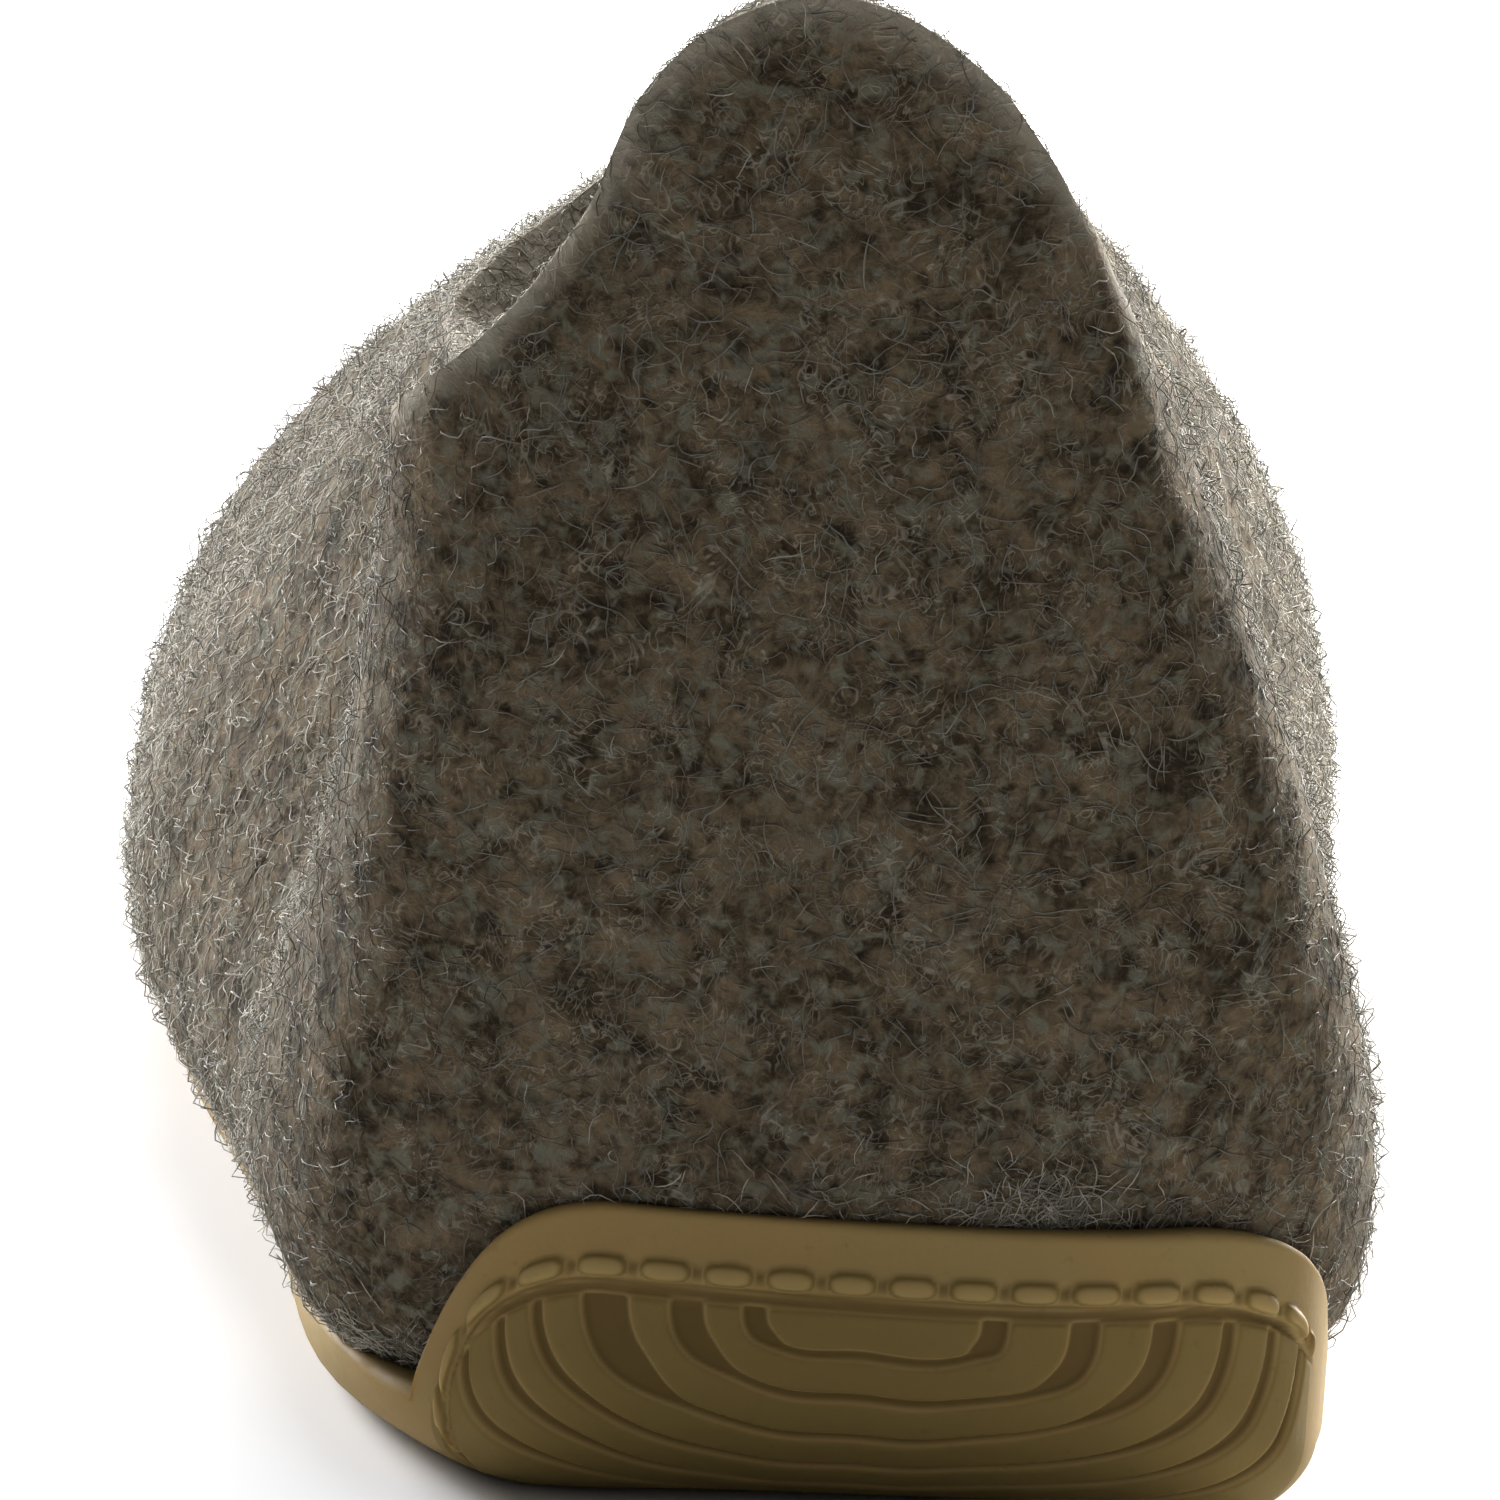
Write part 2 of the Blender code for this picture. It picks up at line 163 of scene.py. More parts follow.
# The nest of grooves begins at a point and goes on past the last one. Lengths in millimetres.
GROOVE_START = Groove(0.01, 0.01, 1.0, 1.0, 3.0, 4.0, 0.01, 1.0)
LAST_GROOVE = GROOVES[-1]
GROOVE_END = LAST_GROOVE._replace(
    outer_reach=LAST_GROOVE.outer_reach + 3,
    inner_reach=LAST_GROOVE.inner_reach + 4,
    fall=LAST_GROOVE.fall + 3.5,
)
NEST_FIRST = 0.02             # first of the nested curves that are tried, and how many
NEST_STEPS = 160
WAVE_HEIGHT = 0.22            # wave of the grooves across the middle of the heel
WAVE_REACH = 9
WAVE_RATE = 0.6               # radians to a millimetre
WAVE_SHIFT = 0.9
NARROWING = (0.12, 0.6)       # how near its bottom a groove narrows
GROOVE_INSIDE = 0.30          # soft edge of a groove, either side of it
GROOVE_OUTSIDE = 0.40
# Low strip between the ribs' upper ends and the row of stitches, and the slot at its outer end
STRIP_TOP = (-1.0, -0.6)
STRIP_FOOT = (-0.25, 0.25)
STRIP_FADE = 3
STRIP_DEPTH = 0.75
Slot = namedtuple("Slot", "across down half_width half_length softness")
SLOT = Slot(32.4, 4, 0.35, 1.7, 0.16)

# Where the row of moulded stitches turns down at either end: start, length, fall and exponent,
# in millimetres along the skin
Turn = namedtuple("Turn", "start span dip power")
OUTER_TURN = Turn(26.5, 5.6, 6.0, 3)
INNER_TURN = Turn(20, 16, 1.4, 2)
TURN_LIMIT = 1.3
OUTER_ROW_END = (31.6, 32.6)
INNER_ROW_END = (35, 36.5)
BEAD_LONG_POWER = 3.0
BEAD_WIDE_POWER = 2.4
BETWEEN_BEADS = (0.95, 1.1)   # along a bead, in half lengths
BETWEEN_DEPTH = 0.8
LINE_PLACE = 1.05 * MM        # the line under the row, from its middle
LINE_WIDTH = 0.22 * MM
LINE_DEPTH = 0.32 * MM

# Rows and columns of the sole's skin
HEEL_INNER_END = -38 * MM
HEEL_OUTER_END = 44 * MM
HEEL_COLUMN = 0.24 * MM
REST_COLUMNS = 120
SKIN_ROWS = 125
CUP_ROWS = 4
ROUND_ROWS = 4
LOOK_LOWEST = 0.5 * MM        # height over the bed at which the felt is looked for
LOOK_FROM = 20 * MM           # and how far outside the sole the look starts
LEDGE_SHARE = 0.45            # most of the rubber's upper edge that is rounded
GROOVES_FADE = (36 * MM, 38 * MM)
FLOOR_FADE = (0.2 * MM, 1.0 * MM)
FLAT_FADE = (0.8, 1.0)        # share of the rolled edge over which the arch sets in
# Painted shade: tone of the ribs on the heel's tread, for the shade where it turns under, the
# distance down at which they begin, and tone of the line under the stitches, for the shade in it
RIB_SHADE = 0.45
RIB_TOP = (5.4 * MM, 6.4 * MM)
RIB_REACH = 36 * MM
LINE_SHADE = 0.7

Lamp = namedtuple("Lamp", "name place target size power color")
LAMPS = (
    Lamp("outer side light", (-0.62, 0.98, 0.34), (0, 0, 0.04), 0.45, 44, (0.98, 0.98, 1)),
    Lamp("inner side light", (0.62, 0.98, 0.34), (0, 0, 0.04), 0.45, 66, (1, 0.98, 0.95)),
    Lamp("top light", (0.0, 0.25, 1.4), (0, 0.0, 0.0), 0.8, 12, (1, 1, 1)),
    Lamp("rear fill", (-0.1, -1.0, 0.6), (0, -0.1, 0.03), 0.8, 0.55, (1, 0.98, 0.95)),
)
SKY_COLOR = (0.95, 0.97, 1.0, 1)
SKY_STRENGTH = 0.10
FLOOR_SIZE = 4.0              # half its side
FRAME_PIXELS = 1500
SENSOR_WIDTH = 36             # millimetres


def length_setting(name, about, millimetres):
    return FloatProperty(name=name, description=about, default=millimetres * MM, unit="LENGTH")


def angle_setting(name, about, degrees):
    return FloatProperty(
        name=name, description=about, default=math.radians(degrees), subtype="ANGLE"
    )


def value_setting(name, about, value):
    return FloatProperty(name=name, description=about, default=value)


def count_setting(name, about, value):
    return IntProperty(name=name, description=about, default=value, min=1)


def color_setting(name, about, *shares):
    return FloatVectorProperty(
        name=name, description=about, default=shares, subtype="COLOR", min=0, max=1
    )


class FeltSizes(bpy.types.PropertyGroup):
    """Felt of the upper and the insole"""

    rounding: count_setting("Rounding", "Subdivision of the frame's shell", 2)
    broad_lump: length_setting("Broad lumps", "Height of the felt's broad unevenness", 0.45)
    broad_span: length_setting("Broad lump span", "Distance between broad lumps", 16)
    fine_lump: length_setting("Fine lumps", "Height of the felt's fine unevenness", 0.22)
    fine_span: length_setting("Fine lump span", "Distance between fine lumps", 5)
    # Painted shade in part: the felt's pits are painted towards this darkest wool; dark fibres use
    # it too.
    dark: color_setting("Dark wool", "Darkest of the matted wool", 0.024, 0.018, 0.011)
    brown: color_setting("Brown wool", "Lighter part of the matted wool", 0.136, 0.101, 0.061)
    cool: color_setting("Grey wool", "Cool grey flecks in the wool", 0.128, 0.126, 0.094)
    pale: color_setting("Pale wool", "Pale strands in the wool", 0.46, 0.42, 0.34)


class FibreSizes(bpy.types.PropertyGroup):
    """Loose fibres on the felt"""

    mat_count: count_setting("Mat fibres", "Short curled fibres lying on the felt", 5000)
    loop_count: count_setting("Long fibres", "Long fibres tangled in loops", 12000)
    stray_count: count_setting("Stray fibres", "Fibres that stand off the felt", 4600)
    hem_count: count_setting("Hem fibres", "Pale fibres along the rubber's top edge", 2000)
    rim_count: count_setting("Rim fibres", "Short pale fibres round the collar", 3000)
    thickness: length_setting("Thickness", "Middle thickness of a fibre", 0.105)


class RubberSizes(bpy.types.PropertyGroup):
    """Moulded rubber sole"""

    bead_length: length_setting("Bead length", "Length of a moulded stitch", 3.5)
    bead_width: length_setting("Bead width", "Width of a moulded stitch", 1.7)
    bead_pitch: length_setting("Bead pitch", "Distance between moulded stitches", 4.25)
    bead_height: length_setting("Bead height", "How far a moulded stitch stands out", 0.6)
    bead_start: length_setting("Bead start", "First moulded stitch from the centre", 1.6)
    band_height: length_setting("Band height", "Rubber's top edge to the row of stitches", 4.3)
    groove_depth: length_setting("Groove depth", "Depth of the heel's grooves", 0.6)
    groove_top: length_setting("Groove top", "Rubber's top edge to the grooves' ends", 6.35)
    groove_centre: length_setting("Groove centre", "Middle of the grooves, outwards", 2.1)
    lip_round: length_setting("Lip rounding", "Radius of the rubber's top edge", 0.9)
    ochre: color_setting("Ochre rubber", "Most of the smooth rubber", 0.265, 0.190, 0.074)
    amber: color_setting("Amber rubber", "Warmer clouds in it", 0.280, 0.186, 0.070)
    # Painted shade: olive darkens the heel's ribs where the tread turns under, and the flanks of
    # the stitches.
    olive: color_setting("Olive rubber", "Ribs of the heel", 0.190, 0.134, 0.044)
    # Painted shade: umber darkens the grooves and the line under the stitches; it also colours
    # random specks.
    umber: color_setting("Umber rubber", "Rubber down in the grooves", 0.130, 0.084, 0.027)


class StageSizes(bpy.types.PropertyGroup):
    """Camera, floor and lights"""

    azimuth: angle_setting("Azimuth", "Camera's turn round the shoe", -5)
    elevation: angle_setting("Elevation", "Camera's height over the floor", 15)
    roll: angle_setting("Roll", "Camera's turn about its own axis", 4)
    distance: length_setting("Distance", "Camera to the back of the heel", 1130)
    pixels_per_mm: value_setting("Scale", "Pixels of the frame to a millimetre at the heel", 14.5)
    anchor_height: length_setting("Anchor height", "Heel point that the framing is set by", 10)
    anchor_pixel_x: value_setting("Anchor across", "Where that point is in the frame", 865)
    anchor_pixel_y: value_setting("Anchor down", "Where that point is in the frame", 1414)
    floor_color: color_setting("Floor", "Pale floor", 0.86, 0.86, 0.86)


# Shapes

def closed_spline(knots, values, period, at):
    """Smooth closed curve through values at knots, read at the given parameters."""
    steps = np.diff(np.append(knots, knots[0] + period))
    count = len(knots)
    matrix = np.zeros((count, count))
    rises = np.diff(np.vstack([values, values[:1]]), axis=0)
    wanted = np.zeros_like(values)
    for i in range(count):
        before = steps[i - 1]
        after = steps[i]
        matrix[i, i - 1] += after
        matrix[i, i] += 2 * (before + after)
        matrix[i, (i + 1) % count] += before
        wanted[i] = 3 * (after * rises[i - 1] / before + before * rises[i] / after)
    slopes = np.linalg.solve(matrix, wanted)
    at = np.mod(at - knots[0], period) + knots[0]
    span = np.clip(np.searchsorted(knots, at, side="right") - 1, 0, count - 1)
    following = (span + 1) % count
    width = steps[span][:, None]
    t = ((at - knots[span]) / steps[span])[:, None]
    return (
        (2 * t**3 - 3 * t**2 + 1) * values[span]
        + (t**3 - 2 * t**2 + t) * width * slopes[span]
        + (3 * t**2 - 2 * t**3) * values[following]
        + (t**3 - t**2) * width * slopes[following]
    )


def smoothstep(low, high, value):
    share = np.clip((value - low) / (high - low), 0, 1)
    return share * share * (3 - 2 * share)


def tree_of(mesh):
    """Search tree over a mesh's faces."""
    shape = bmesh.new()
    shape.from_mesh(mesh)
    tree = BVHTree.FromBMesh(shape)
    shape.free()
    return tree


def behind_heel(points):
    """Distance from the back of the heel along the shoe."""
    return points[:, 1] - cad_low[1]


def hill(gap, width):
    """Smooth rise to 1 where the gap is 0."""
    return np.exp(-((gap / width) ** 2))


def points_of(mesh):
    points = np.empty(len(mesh.vertices) * 3)
    mesh.vertices.foreach_get("co", points)
    return points.reshape(-1, 3)


def normals_of(mesh):
    normals = np.empty(len(mesh.vertices) * 3)
    mesh.vertex_normals.foreach_get("vector", normals)
    return normals.reshape(-1, 3)


def add_piece(name, mesh, material):
    """New piece of the shoe that rides on its one body."""
    obj = bpy.data.objects.new(name, mesh)
    bpy.context.scene.collection.objects.link(obj)
    mesh.materials.append(material)
    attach(obj, BODY)
    return obj


def rounded_copy(node, levels):
    """Mesh of a frame node, its triangles paired and the whole rounded by subdivision."""
    shape = bmesh.new()
    shape.from_mesh(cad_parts[node].data)
    bmesh.ops.remove_doubles(shape, verts=shape.verts, dist=WELD)
    bmesh.ops.join_triangles(
        shape, faces=shape.faces,
        angle_face_threshold=PAIR_ANGLE, angle_shape_threshold=PAIR_ANGLE,
    )
    rough = bpy.data.meshes.new(f"{node} pairs")
    shape.to_mesh(rough)
    shape.free()
    obj = bpy.data.objects.new(f"{node}_pairs", rough)
    bpy.context.scene.collection.objects.link(obj)
    rounding = obj.modifiers.new("rounding", "SUBSURF")
    rounding.levels = levels
    rounding.render_levels = levels
    graph = bpy.context.evaluated_depsgraph_get()
    mesh = bpy.data.meshes.new_from_object(obj.evaluated_get(graph))
    bpy.data.objects.remove(obj)
    bpy.data.meshes.remove(rough)
    mesh.materials.clear()
    return mesh


def outward_share(points, normals):
    """Above 0 where a face looks away from the foot, below 0 where it looks at it."""
    start = np.array(MIDDLE_HEEL)
    run = np.array(MIDDLE_TOE) - start
    share = np.clip((points - start) @ run / (run @ run), 0, 1)
    away = points - (start + share[:, None] * run)
    away /= np.linalg.norm(away, axis=1)[:, None]
    return (away * normals).sum(axis=1)


def distance_to_line(points, places):
    """Distance of each point, across and up, from a line through the places."""
    best = np.full(len(points), np.inf)
    for start, end in zip(places, places[1:]):
        run = end - start
        share = np.clip((points - start) @ run / (run @ run), 0, 1)
        gap = np.linalg.norm(points - (start + share[:, None] * run), axis=1)
        best = np.minimum(best, gap)
    return best


def lumps(points, span, offset):
    """Smooth unevenness between about -1 and 1."""
    shift = Vector((offset, 2 * offset, 3 * offset))
    return np.array([noise.noise(Vector(point) / span + shift) for point in points])


def shape_felt(mesh, sizes):
    """Give the felt its folds and lumps, along its own normals."""
    points = points_of(mesh)
    normals = normals_of(mesh)
    lift = sizes.broad_lump * lumps(points, sizes.broad_span, 0.0)
    lift += sizes.fine_lump * lumps(points, sizes.fine_span, 5.0)
    # The inner face moves with the outer one, against its own normal.
    way = np.sign(outward_share(points, normals))
    along = behind_heel(points)
    way *= 1 - smoothstep(*FOLD_FADE, along)
    for fold in FOLDS:
        gap = distance_to_line(points[:, [0, 2]], np.array(fold.places) * MM)
        lift += fold.height * MM * hill(gap, fold.width * MM) * way
    # The hollow moves both faces across the shoe, so that the rim stays whole.
    along_up = np.column_stack([along, points[:, 2]])
    gap = distance_to_line(along_up, np.array(QUARTER_HOLLOW.places) * MM)
    hollow = hill(gap, QUARTER_HOLLOW.width * MM) * (points[:, 0] < MIDDLE_HEEL.x)
    points[:, 0] -= QUARTER_HOLLOW.height * MM * hollow
    mesh.vertices.foreach_set("co", (points + normals * lift[:, None]).ravel())
    mesh.update()
    mesh.shade_smooth()


# Fibres

# A kind of fibre: rings between its ends, shortest and longest in millimetres, curl, rise in
# millimetres, whether its end stands off the felt, share of the thickness, middle tone, spread
# of the tones and palest tone
FibreKind = namedtuple(
    "FibreKind", "rings shortest longest curl lift stands thickness tone spread palest"
)
MAT = FibreKind(3, 1.4, 3.2, 1.1, 0.35, False, 1.0, 0.54, 0.20, 0.72)
LOOP = FibreKind(6, 2.6, 5.6, 0.9, 1.7, False, 1.0, 0.55, 0.19, 0.73)
STRAY = FibreKind(4, 1.5, 3.6, 0.8, 1.3, True, 0.8, 0.66, 0.20, 0.86)
HEM = FibreKind(4, 1.6, 4.2, 0.9, 0.9, True, 0.95, 0.84, 0.14, 1.0)
RIM = FibreKind(3, 0.8, 2.0, 0.8, 0.8, True, 0.85, 0.80, 0.14, 1.0)
SIDES = 3                     # of a fibre
DRIFT = 0.25                  # steady turn, as a share of the curl
CURL_LENGTH = 4 * MM
CURL_WAVES = (0.5, 1.6)       # waves of the curl in that length
LIFT_SHARES = (0.3, 1.0)
LOW_POWER = 1.8               # the higher, the more of the lying fibres lie low
DIVES = (0.4, 2.2)            # times that a lying fibre dives
DIVE_DEPTH = 0.45
END_POWER = 0.7
STAND_POWER = 1.3
UNEVEN = (0.75, 1.0)
ROOT_DEPTH = 0.05 * MM
STEEP = 0.8
RADII = (0.7, 1.35)           # thinnest and thickest, as shares
FEWEST = 50

# Where fibres stand, by the distance from the back of the heel or by height, and how thick
COVER_SIDE = (20 * MM, 60 * MM)
COVER_TOE = (150 * MM, 190 * MM)
COVER_INSIDE = (45 * MM, 70 * MM)
SIDE_MORE = 1.1
TOE_LESS = 1.45
INSIDE_SHARE = 0.25
NAP_END = (15 * MM, 40 * MM)
NAP_LESS = 0.75
NAP_INSIDE = 0.1
HEM_HEIGHT = 1.2 * MM         # over the rubber's top edge
HEM_WIDTH = 1.6 * MM
# Painted light: the fibres on the sides get lighter tones, standing in for the light of the lamps
# on the sides, and less so towards the toe.
SIDE_LIGHT_START = (15 * MM, 50 * MM)
SIDE_LIGHT_END = (130 * MM, 190 * MM)
SIDE_LIGHT_LESS = 0.6
SIDE_LIGHT_TONE = 0.24
# Pieces that the fibres are parted in
HEEL_END = 22 * MM
QUARTER_END = 85 * MM
VAMP_END = 155 * MM

# The rim of the collar is higher than this, and the felt behind its face deeper than that.
RIM_LOWEST = 60 * MM
RIM_DEPTH = 7 * MM
RIM_SKIP = 0.3 * MM           # start of the look for the far face
RIM_FADE = 1.6 * MM

# Tufts pulled out along the rubber's edge, in millimetres: across, along from the back of the
# heel, width, and how much thicker the fibres stand there
Tuft = namedtuple("Tuft", "name across along span share")
TUFTS = (
    Tuft("outer heel", -36, 18, 9, 8),
    Tuft("outer quarter", -42, 43, 4, 16),
    Tuft("outer waist", -45, 84, 4, 14),
    Tuft("middle of the heel", 11.5, 1, 4.5, 14),
)


def scatter(draw, mesh, weight, count):
    """Points and normals spread over a mesh, thicker where the weight of a face is higher."""
    mesh.calc_loop_triangles()
    total = len(mesh.loop_triangles)
    corners = np.empty(total * 3, np.int32)
    mesh.loop_triangles.foreach_get("vertices", corners)
    corners = corners.reshape(-1, 3)
    points = points_of(mesh)
    a, b, c = points[corners[:, 0]], points[corners[:, 1]], points[corners[:, 2]]
    cross = np.cross(b - a, c - a)
    area = np.linalg.norm(cross, axis=1)
    normals = cross / np.maximum(area, TINY * MM)[:, None]
    share = np.cumsum(area * weight((a + b + c) / 3, normals))
    picks = np.searchsorted(share, draw.random(count) * share[-1])
    u, v = draw.random((2, count))
    fold = u + v > 1
    u[fold] = 1 - u[fold]
    v[fold] = 1 - v[fold]
    spots = a[picks] + (b - a)[picks] * u[:, None] + (c - a)[picks] * v[:, None]
    return spots, normals[picks]


def rim_share(tree, points, normals):
    """1 on the rim of the collar, where the felt is deep behind its face, and 0 elsewhere."""
    share = np.zeros(len(points))
    for i in np.nonzero(points[:, 2] > RIM_LOWEST)[0]:
        inward = Vector(-normals[i])
        start = Vector(points[i]) + inward * RIM_SKIP
        hit = tree.ray_cast(start, inward, RIM_DEPTH)[0]
        share[i] = hit is None
    return share


def mark_rim(mesh):
    """Attribute that is 1 on the rim of the collar and fades out beside it; the felt's painted
    glow is read from it.
    """
    points = points_of(mesh)
    rim = np.nonzero(rim_share(tree_of(mesh), points, normals_of(mesh)))[0]
    near = KDTree(len(rim))
    for i in rim:
        near.insert(points[i], int(i))
    near.balance()
    gaps = np.array([near.find(point)[2] for point in points])
    share = mesh.attributes.new("rim", "FLOAT", "POINT")
    share.data.foreach_set("value", hill(gaps, RIM_FADE))


def fibre_paths(draw, spots, normals, kind, tree):
    """Curled paths laid on the felt: fibres, points along each, place."""
    count = len(spots)
    steps = kind.rings + 2
    length = draw.uniform(kind.shortest, kind.longest, count) * MM
    stride = length / (steps - 1)
    heading = draw.uniform(0, 2 * math.pi, count)
    curl = draw.normal(0, kind.curl, count) / MM
    drift = draw.normal(0, DRIFT * kind.curl, count) / MM
    waves = draw.uniform(*CURL_WAVES, count) * length / CURL_LENGTH
    phase = draw.uniform(0, 2 * math.pi, count)
    t = np.linspace(0, 1, steps)
    wave = np.cos(2 * math.pi * waves[:, None] * t + phase[:, None])
    bend = drift[:, None] + curl[:, None] * wave
    angle = heading[:, None] + np.cumsum(bend * stride[:, None], axis=1)
    strides = np.stack([np.cos(angle), np.sin(angle)], axis=2) * stride[:, None, None]
    run = np.cumsum(strides, axis=1)
    run -= run[:, :1] if kind.stands else run.mean(axis=1, keepdims=True)
    helper = np.where(np.abs(normals[:, 2:]) < STEEP, [[0.0, 0.0, 1.0]], [[0.0, 1.0, 0.0]])
    side = np.cross(helper, normals)
    side /= np.linalg.norm(side, axis=1)[:, None]
    ahead = np.cross(normals, side)
    flat = spots[:, None] + run[:, :, :1] * side[:, None] + run[:, :, 1:] * ahead[:, None]
    lift = draw.uniform(*LIFT_SHARES, count)
    if kind.stands:
        rise = np.tile(t**STAND_POWER, (count, 1))
    else:
        # Most lie low, and the rest rise and dive once or more on their way.
        lift = lift**LOW_POWER
        dives = draw.uniform(*DIVES, count)
        rise = 1 - DIVE_DEPTH * (1 - np.cos(2 * math.pi * dives[:, None] * t + phase[:, None]))
        rise = rise * np.sin(math.pi * t) ** END_POWER
    height = kind.lift * MM * lift[:, None] * rise * draw.uniform(*UNEVEN, (count, steps))
    height[:, 0] = -ROOT_DEPTH
    if not kind.stands:
        height[:, -1] = -ROOT_DEPTH
    paths = np.empty((count, steps, 3))
    above = np.empty((count, steps, 3))
    for i in range(count):
        for j in range(steps):
            spot, normal, _, _ = tree.find_nearest(Vector(flat[i, j]))
            paths[i, j] = spot
            above[i, j] = normal
    return paths + above * height[:, :, None], above


def fibre_mesh(name, batches):
    """One mesh of closed three-sided fibres, drawn out to a point at both ends."""
    all_points = []
    all_faces = []
    all_tones = []
    start = 0
    for paths, above, radius, tones in batches:
        count, steps, _ = paths.shape
        rings = steps - 2
        run = np.gradient(paths, axis=1)
        run /= np.maximum(np.linalg.norm(run, axis=2, keepdims=True), TINY)
        side = np.cross(run, above)
        side /= np.maximum(np.linalg.norm(side, axis=2, keepdims=True), TINY)
        rise = np.cross(side, run)
        taper = np.sqrt(np.sin(math.pi * np.linspace(0, 1, steps)[1:-1]))
        reach = radius[:, None, None, None] * taper[None, :, None, None]
        turn = np.arange(SIDES) * 2 * math.pi / SIDES + math.pi / 2
        round_about = (
            np.cos(turn)[None, None, :, None] * side[:, 1:-1, None]
            + np.sin(turn)[None, None, :, None] * rise[:, 1:-1, None]
        )
        bodies = paths[:, 1:-1, None] + round_about * reach
        bodies = bodies.reshape(count, -1, 3)
        points = np.concatenate([bodies, paths[:, :1], paths[:, -1:]], axis=1)
        faces = fibre_faces(rings)
        offset = start + np.arange(count)[:, None, None] * points.shape[1]
        all_points.append(points.reshape(-1, 3))
        all_faces.append((faces[None] + offset).reshape(-1, 3))
        all_tones.append(np.repeat(tones, points.shape[1]))
        start += count * points.shape[1]
    points = np.concatenate(all_points)
    faces = np.concatenate(all_faces).astype(np.int32)
    mesh = bpy.data.meshes.new(name)
    mesh.vertices.add(len(points))
    mesh.vertices.foreach_set("co", points.ravel())
    mesh.loops.add(faces.size)
    mesh.loops.foreach_set("vertex_index", faces.ravel())
    mesh.polygons.add(len(faces))
    mesh.polygons.foreach_set("loop_start", np.arange(0, faces.size, 3, dtype=np.int32))
    tone = mesh.attributes.new("tone", "FLOAT", "POINT")
    tone.data.foreach_set("value", np.concatenate(all_tones))
    mesh.update(calc_edges=True)
    mesh.validate()
    mesh.shade_smooth()
    return mesh


def fibre_faces(rings):
    """Faces of one fibre: a sleeve of three sides with a point at either end."""
    faces = []
    for ring in range(rings - 1):
        for i in range(SIDES):
            low = SIDES * ring + i
            next_low = SIDES * ring + (i + 1) % SIDES
            faces.append((low, next_low, next_low + SIDES))
            faces.append((low, next_low + SIDES, low + SIDES))
    first_tip = SIDES * rings
    last_tip = first_tip + 1
    top = SIDES * (rings - 1)
    for i in range(SIDES):
        faces.append((first_tip, (i + 1) % SIDES, i))
        faces.append((last_tip, top + i, top + (i + 1) % SIDES))
    return np.array(faces)


# Sole

def lip_height(x, y):
    """Top edge of the rubber over its floor, by the place across and from the heel's back."""
    end = np.where(x < 0, SHIELD_END_OUTER, SHIELD_END_INNER)
    along = np.clip((y - SHIELD_FULL) / (end - SHIELD_FULL), 0, 1)
    return LIP_HEIGHT + (SHIELD_HEIGHT - LIP_HEIGHT) * (1 - along**SHIELD_SHOULDER)


class SoleForm:
    """The sole's outline and skin, as its solid has them."""

    def __init__(self):
        self.table = np.array([edge[1:] for edge in SOLE_EDGE], dtype=float) * MM
        ends = np.vstack([self.table[:, :2], self.table[:1, :2]])
        lengths = np.hypot(*np.diff(ends, axis=0).T)
        self.period = lengths.sum()
        self.knots = np.concatenate([[0], np.cumsum(lengths)[:-1]])
        low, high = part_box("outsole")
        trace = self.read(np.linspace(0, self.period, OUTLINE_SAMPLES, endpoint=False))
        self.shift_x = (low[0] + high[0]) / 2 - (trace[:, 0].min() + trace[:, 0].max()) / 2
        self.shift_y = (low[1] + high[1]) / 2 - (trace[:, 1].min() + trace[:, 1].max()) / 2

    def read(self, at):
        return closed_spline(self.knots, self.table, self.period, at)

    def outward(self, at):
        """Unit direction out of the sole, along the floor."""
        run = self.read(at + TANGENT_STEP)[:, :2] - self.read(at - TANGENT_STEP)[:, :2]
        run /= np.linalg.norm(run, axis=1)[:, None]
        return np.stack([-run[:, 1], run[:, 0]], axis=1)

    def toe_lift(self, y):
        start = TOE_SPRING_START * SOLE_LENGTH
        return TOE_SPRING * np.clip((y - start) / (SOLE_LENGTH - start), 0, None) ** 2

    def arch_lift(self, y):
        share = np.clip((y / SOLE_LENGTH - ARCH_START) / (ARCH_END - ARCH_START), 0, 1)
        return ARCH_RISE * np.sin(math.pi * share) ** 2

    def lip(self, at):
        row = self.read(at)
        return lip_height(row[:, 0], row[:, 1]) + self.toe_lift(row[:, 1])

    def skin_length(self, at):
        """From the top edge down the skin to the flat of the bottom."""
        row = self.read(at)
        return self.lip(at) - self.toe_lift(row[:, 1]) - row[:, 2] * (1 - math.pi / 2)

    def skin(self, at, down):
        """Points on the skin and the way out of it there."""
        row = self.read(at)
        out = self.outward(at)
        floor = self.toe_lift(row[:, 1])
        roll = row[:, 2]
        upright = self.lip(at) - floor - roll
        turn = np.clip((down - upright) / roll, 0, math.pi / 2)
        height = floor + roll * (1 - np.sin(turn)) + np.clip(upright - down, 0, None)
        inset = roll * (1 - np.cos(turn))
        place = row[:, :2] - out * inset[:, None]
        normal = np.column_stack([out * np.cos(turn)[:, None], -np.sin(turn)])
        points = np.column_stack([place, height])
        flat = smoothstep(*FLAT_FADE, turn / (math.pi / 2))
        points[:, 2] += self.arch_lift(points[:, 1]) * flat
        return points, normal

    def moved(self, points):
        """From the table's own place to the frame's."""
        return points + [self.shift_x, self.shift_y, 0]


